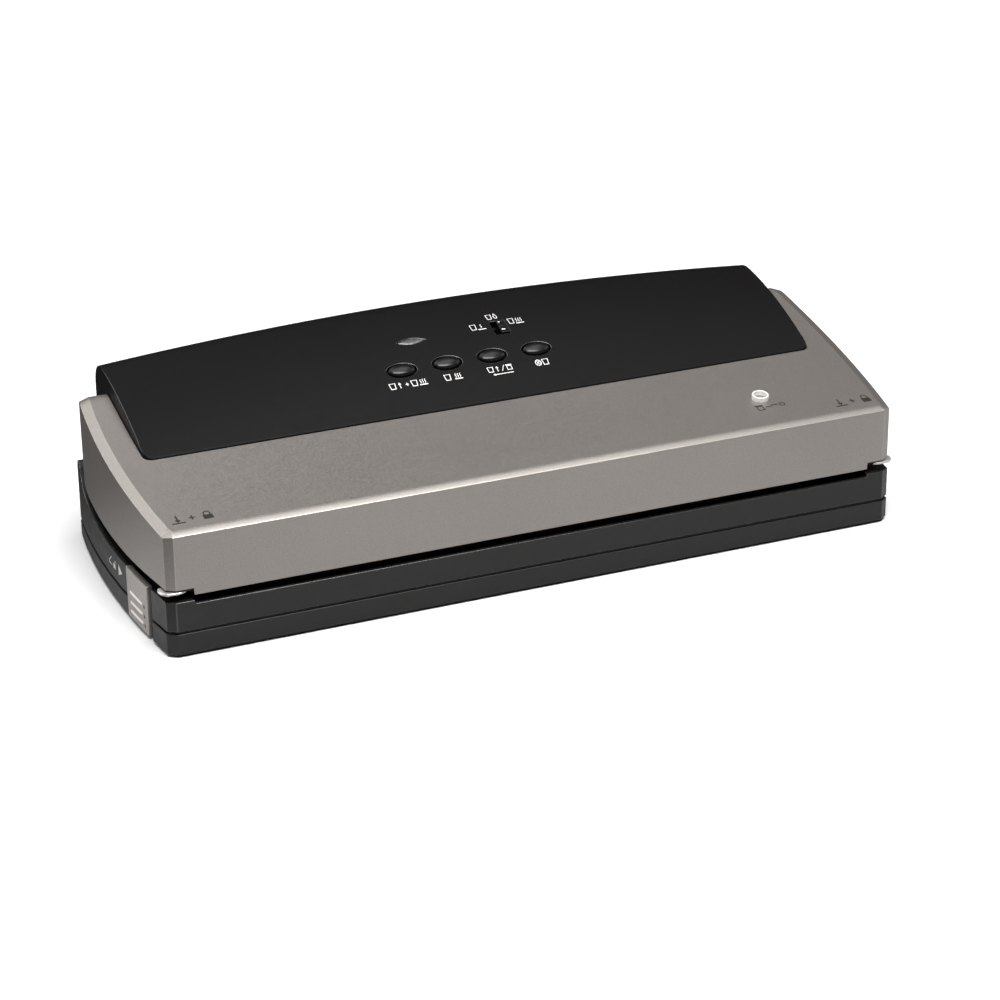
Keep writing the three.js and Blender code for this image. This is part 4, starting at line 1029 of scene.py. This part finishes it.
stroke_mesh("mark_cancel", on_panel(36.2, 5.6), moved(glyph_stop(), -1.9, 0, 1.0, 1.12) + moved(glyph_bag(), 2.2, 0, 1.0, PY), MATS["ink_white"], "lid")
stroke_mesh("mark_time_short", on_panel(12.4, 35.6), moved(glyph_bag(W * 0.85), -2.6, 0.2, 0.95, 1.25) + moved(glyph_seal(W * 0.85, 1), 1.9, 0, 1.05, 1.35), MATS["ink_white"], "lid")
stroke_mesh("mark_time_long", on_panel(34.4, 36.3), moved(glyph_bag(W * 0.85), -2.6, 0.2, 0.95, 1.25) + moved(glyph_seal(W * 0.85, 3), 1.9, 0, 1.05, 1.35), MATS["ink_white"], "lid")
stroke_mesh("mark_time_moist", on_panel(23.2, 41.9), moved(glyph_bag(W * 0.85), -2.0, 0, 0.9, 1.15) + moved(glyph_drop(W * 0.85), 1.5, 0, 0.9, 1.25), MATS["ink_white"], "lid")


def on_slider(u, v, h):
    return tuple(panel_matrix(24.15, 33.15) @ Vector((u, v, 1.15 + h)))


# two white marks at the ends of the knob's ridges: painted highlights
stroke_mesh("slider_ridge_painted_highlight", on_slider, [("fill", [(-0.3, -3.4), (1.6, -3.4), (1.6, -2.65), (-0.3, -2.65)]),
            ("fill", [(-0.3, 2.75), (0.7, 2.75), (0.7, 3.3), (-0.3, 3.3)])], MATS["ink_white"], BODY["seal_time_slider"])
for side, cx in (("left", -179.2), ("right", 183.0)):
    stroke_mesh(f"mark_press_{side}", on_top(cx, -68.4),
                moved(glyph_down(0.8), -8.6, 0.3, 1.7, 1.9) + [("line", [(-11.6, -3.1), (-5.6, -3.1)], 0.9)] + moved(glyph_plus(0.75), -1.2, 0, 1.7, 2.2)
                + moved(glyph_lock(0.75), 6.6, 0, 1.8, 2.1), MATS["ink_dark"], "lid")
stroke_mesh("mark_port", on_top(138.6, -60.2),
            moved(glyph_jar(0.65), -6.6, 0, 1.2, 1.5) + [("line", [(-3.2, 0), (-0.4, 0), (0.6, 0.9), (2.6, 0.9)], 0.6), ("fill", [(2.6, 1.7), (4.2, 0.9), (2.6, 0.1)])]
            + [("line", ring(6.2, 0.2, 1.4, 16), 0.6)], MATS["ink_dark"], "lid")
for side, sx in (("left", -1), ("right", 1)):
    stroke_mesh(f"mark_release_{side}", on_side(-8.0, 21.2, sx),
                [("fill", [(8.3, -3.1), (8.3, 3.1), (14.2, 0.0)])] + moved(glyph_lock(0.5, True), 1.6, 0.1, 1.35, 1.5)
                + [("line", [(-7.6, -2.0), (-2.6, -2.0)], 0.55), ("line", [(-7.6, -1.2), (-3.2, 2.4)], 0.55)], MATS["ink_white"], "base")

# -------------------------------------------------------- stage and lights
floor_mesh = bpy.data.meshes.new("floor")
S = 6.0
floor_mesh.from_pydata([(-S, -S, 0), (S, -S, 0), (S, S, 0), (-S, S, 0)], [], [(0, 1, 2, 3)])
floor = bpy.data.objects.new("floor", floor_mesh)
COLL.objects.link(floor)
fm = Mat("floor_pale", (0.86, 0.86, 0.86), 0.7, spec=0.2)
fm.vary_color(fm.noise(3, 2, 0.5), 0.005)
# Seen by the camera the sweep is evenly pale; in reflections and bounce light it is a painted grey, darker behind the
# object as a painted shadow.
lp = fm.n.new("ShaderNodeLightPath")
dim = fm.n.new("ShaderNodeMix")
dim.data_type = "RGBA"
sep = fm.n.new("ShaderNodeSeparateXYZ")
fm.l.new(fm.co, sep.inputs["Vector"])
# painted shadow of the object on the floor: the reflected grey falls from 0.47 in front to 0.05 behind
floor_shadow = fm.remap(sep.outputs["Y"], 0.0, 0.13, 0.47, 0.05)


def times(a, b):
    p = fm.n.new("ShaderNodeMath")
    p.operation = "MULTIPLY"
    fm.l.new(a, p.inputs[0])
    fm.l.new(b, p.inputs[1])
    return p.outputs[0]


# a painted dark patch off the left front corner, seen only in reflections, paints shade onto the lid's corner facet
painted_shade_patch = times(fm.remap(sep.outputs["X"], -0.30, -0.225, 1.0, 0.0), fm.remap(sep.outputs["Y"], -0.12, -0.06, 1.0, 0.0))
floor_shadow = times(floor_shadow, fm.remap(painted_shade_patch, 0.0, 1.0, 1.0, 0.15))
grey = fm.n.new("ShaderNodeCombineColor")
for k in ("Red", "Green", "Blue"):
    fm.l.new(floor_shadow, grey.inputs[k])
fm.l.new(grey.outputs["Color"], dim.inputs["A"])
fm.l.new(fm.colour_out, dim.inputs["B"])
fm.l.new(lp.outputs["Is Camera Ray"], dim.inputs["Factor"])
fm.l.new(dim.outputs["Result"], fm.p.inputs["Base Color"])
floor_mesh.materials.append(fm.m)

world = bpy.data.worlds.new("world")
bpy.context.scene.world = world
world.use_nodes = True
bg = world.node_tree.nodes["Background"]
bg.inputs["Color"].default_value = (1, 1, 1, 1)
bg.inputs["Strength"].default_value = 0.03


def area(name, loc, target, size, energy, size_y=None, color=(1, 1, 1)):
    d = bpy.data.lights.new(name, "AREA")
    d.energy = energy
    d.color = color
    d.size = size
    if size_y:
        d.shape = "RECTANGLE"
        d.size_y = size_y
    o = bpy.data.objects.new(name, d)
    COLL.objects.link(o)
    o.location = loc
    o.rotation_mode = "QUATERNION"
    o.rotation_quaternion = (Vector(target) - Vector(loc)).to_track_quat("-Z", "Y")
    return o


def soft(name, azimuth, elevation, dist, w, h, energy):
    """A softbox aimed at the object. Azimuth 0 is +X, 90 is +Y, 270 the front."""
    a, e = math.radians(azimuth), math.radians(elevation)
    loc = Vector((0, 0, 0.05)) + dist * Vector((math.cos(e) * math.cos(a), math.cos(e) * math.sin(a), math.sin(e)))
    area(name, loc, (0, 0, 0.05), w, energy, h)


soft("soft_top", 0, 88, 1.6, 1.2, 1.2, 12.0)
soft("soft_front_high", 265, 65, 1.6, 1.2, 0.5, 35.0)
soft("soft_back_left", 140, 40, 1.8, 1.0, 0.8, 6.3)
soft("soft_back", 110, 48, 1.8, 1.0, 0.8, 3.4)
soft("soft_left_low", 150, 12, 1.5, 1.2, 0.4, 2.2)
soft("soft_right", 0, 35, 1.6, 1.0, 0.8, 3.2)
soft("soft_rim", 32, 62, 1.6, 0.4, 0.4, 0.8)
# the far end of the sweep has its own lamp, fenced off from the object
sweep = area("soft_sweep", (0.75, 2.1, 1.5), (0.75, 2.1, 0), 2.2, 30.0, 2.2)
sweep.data.spread = math.radians(75)
bpy.context.scene.view_settings.view_transform = "Standard"
bpy.context.scene.view_settings.look = "None"
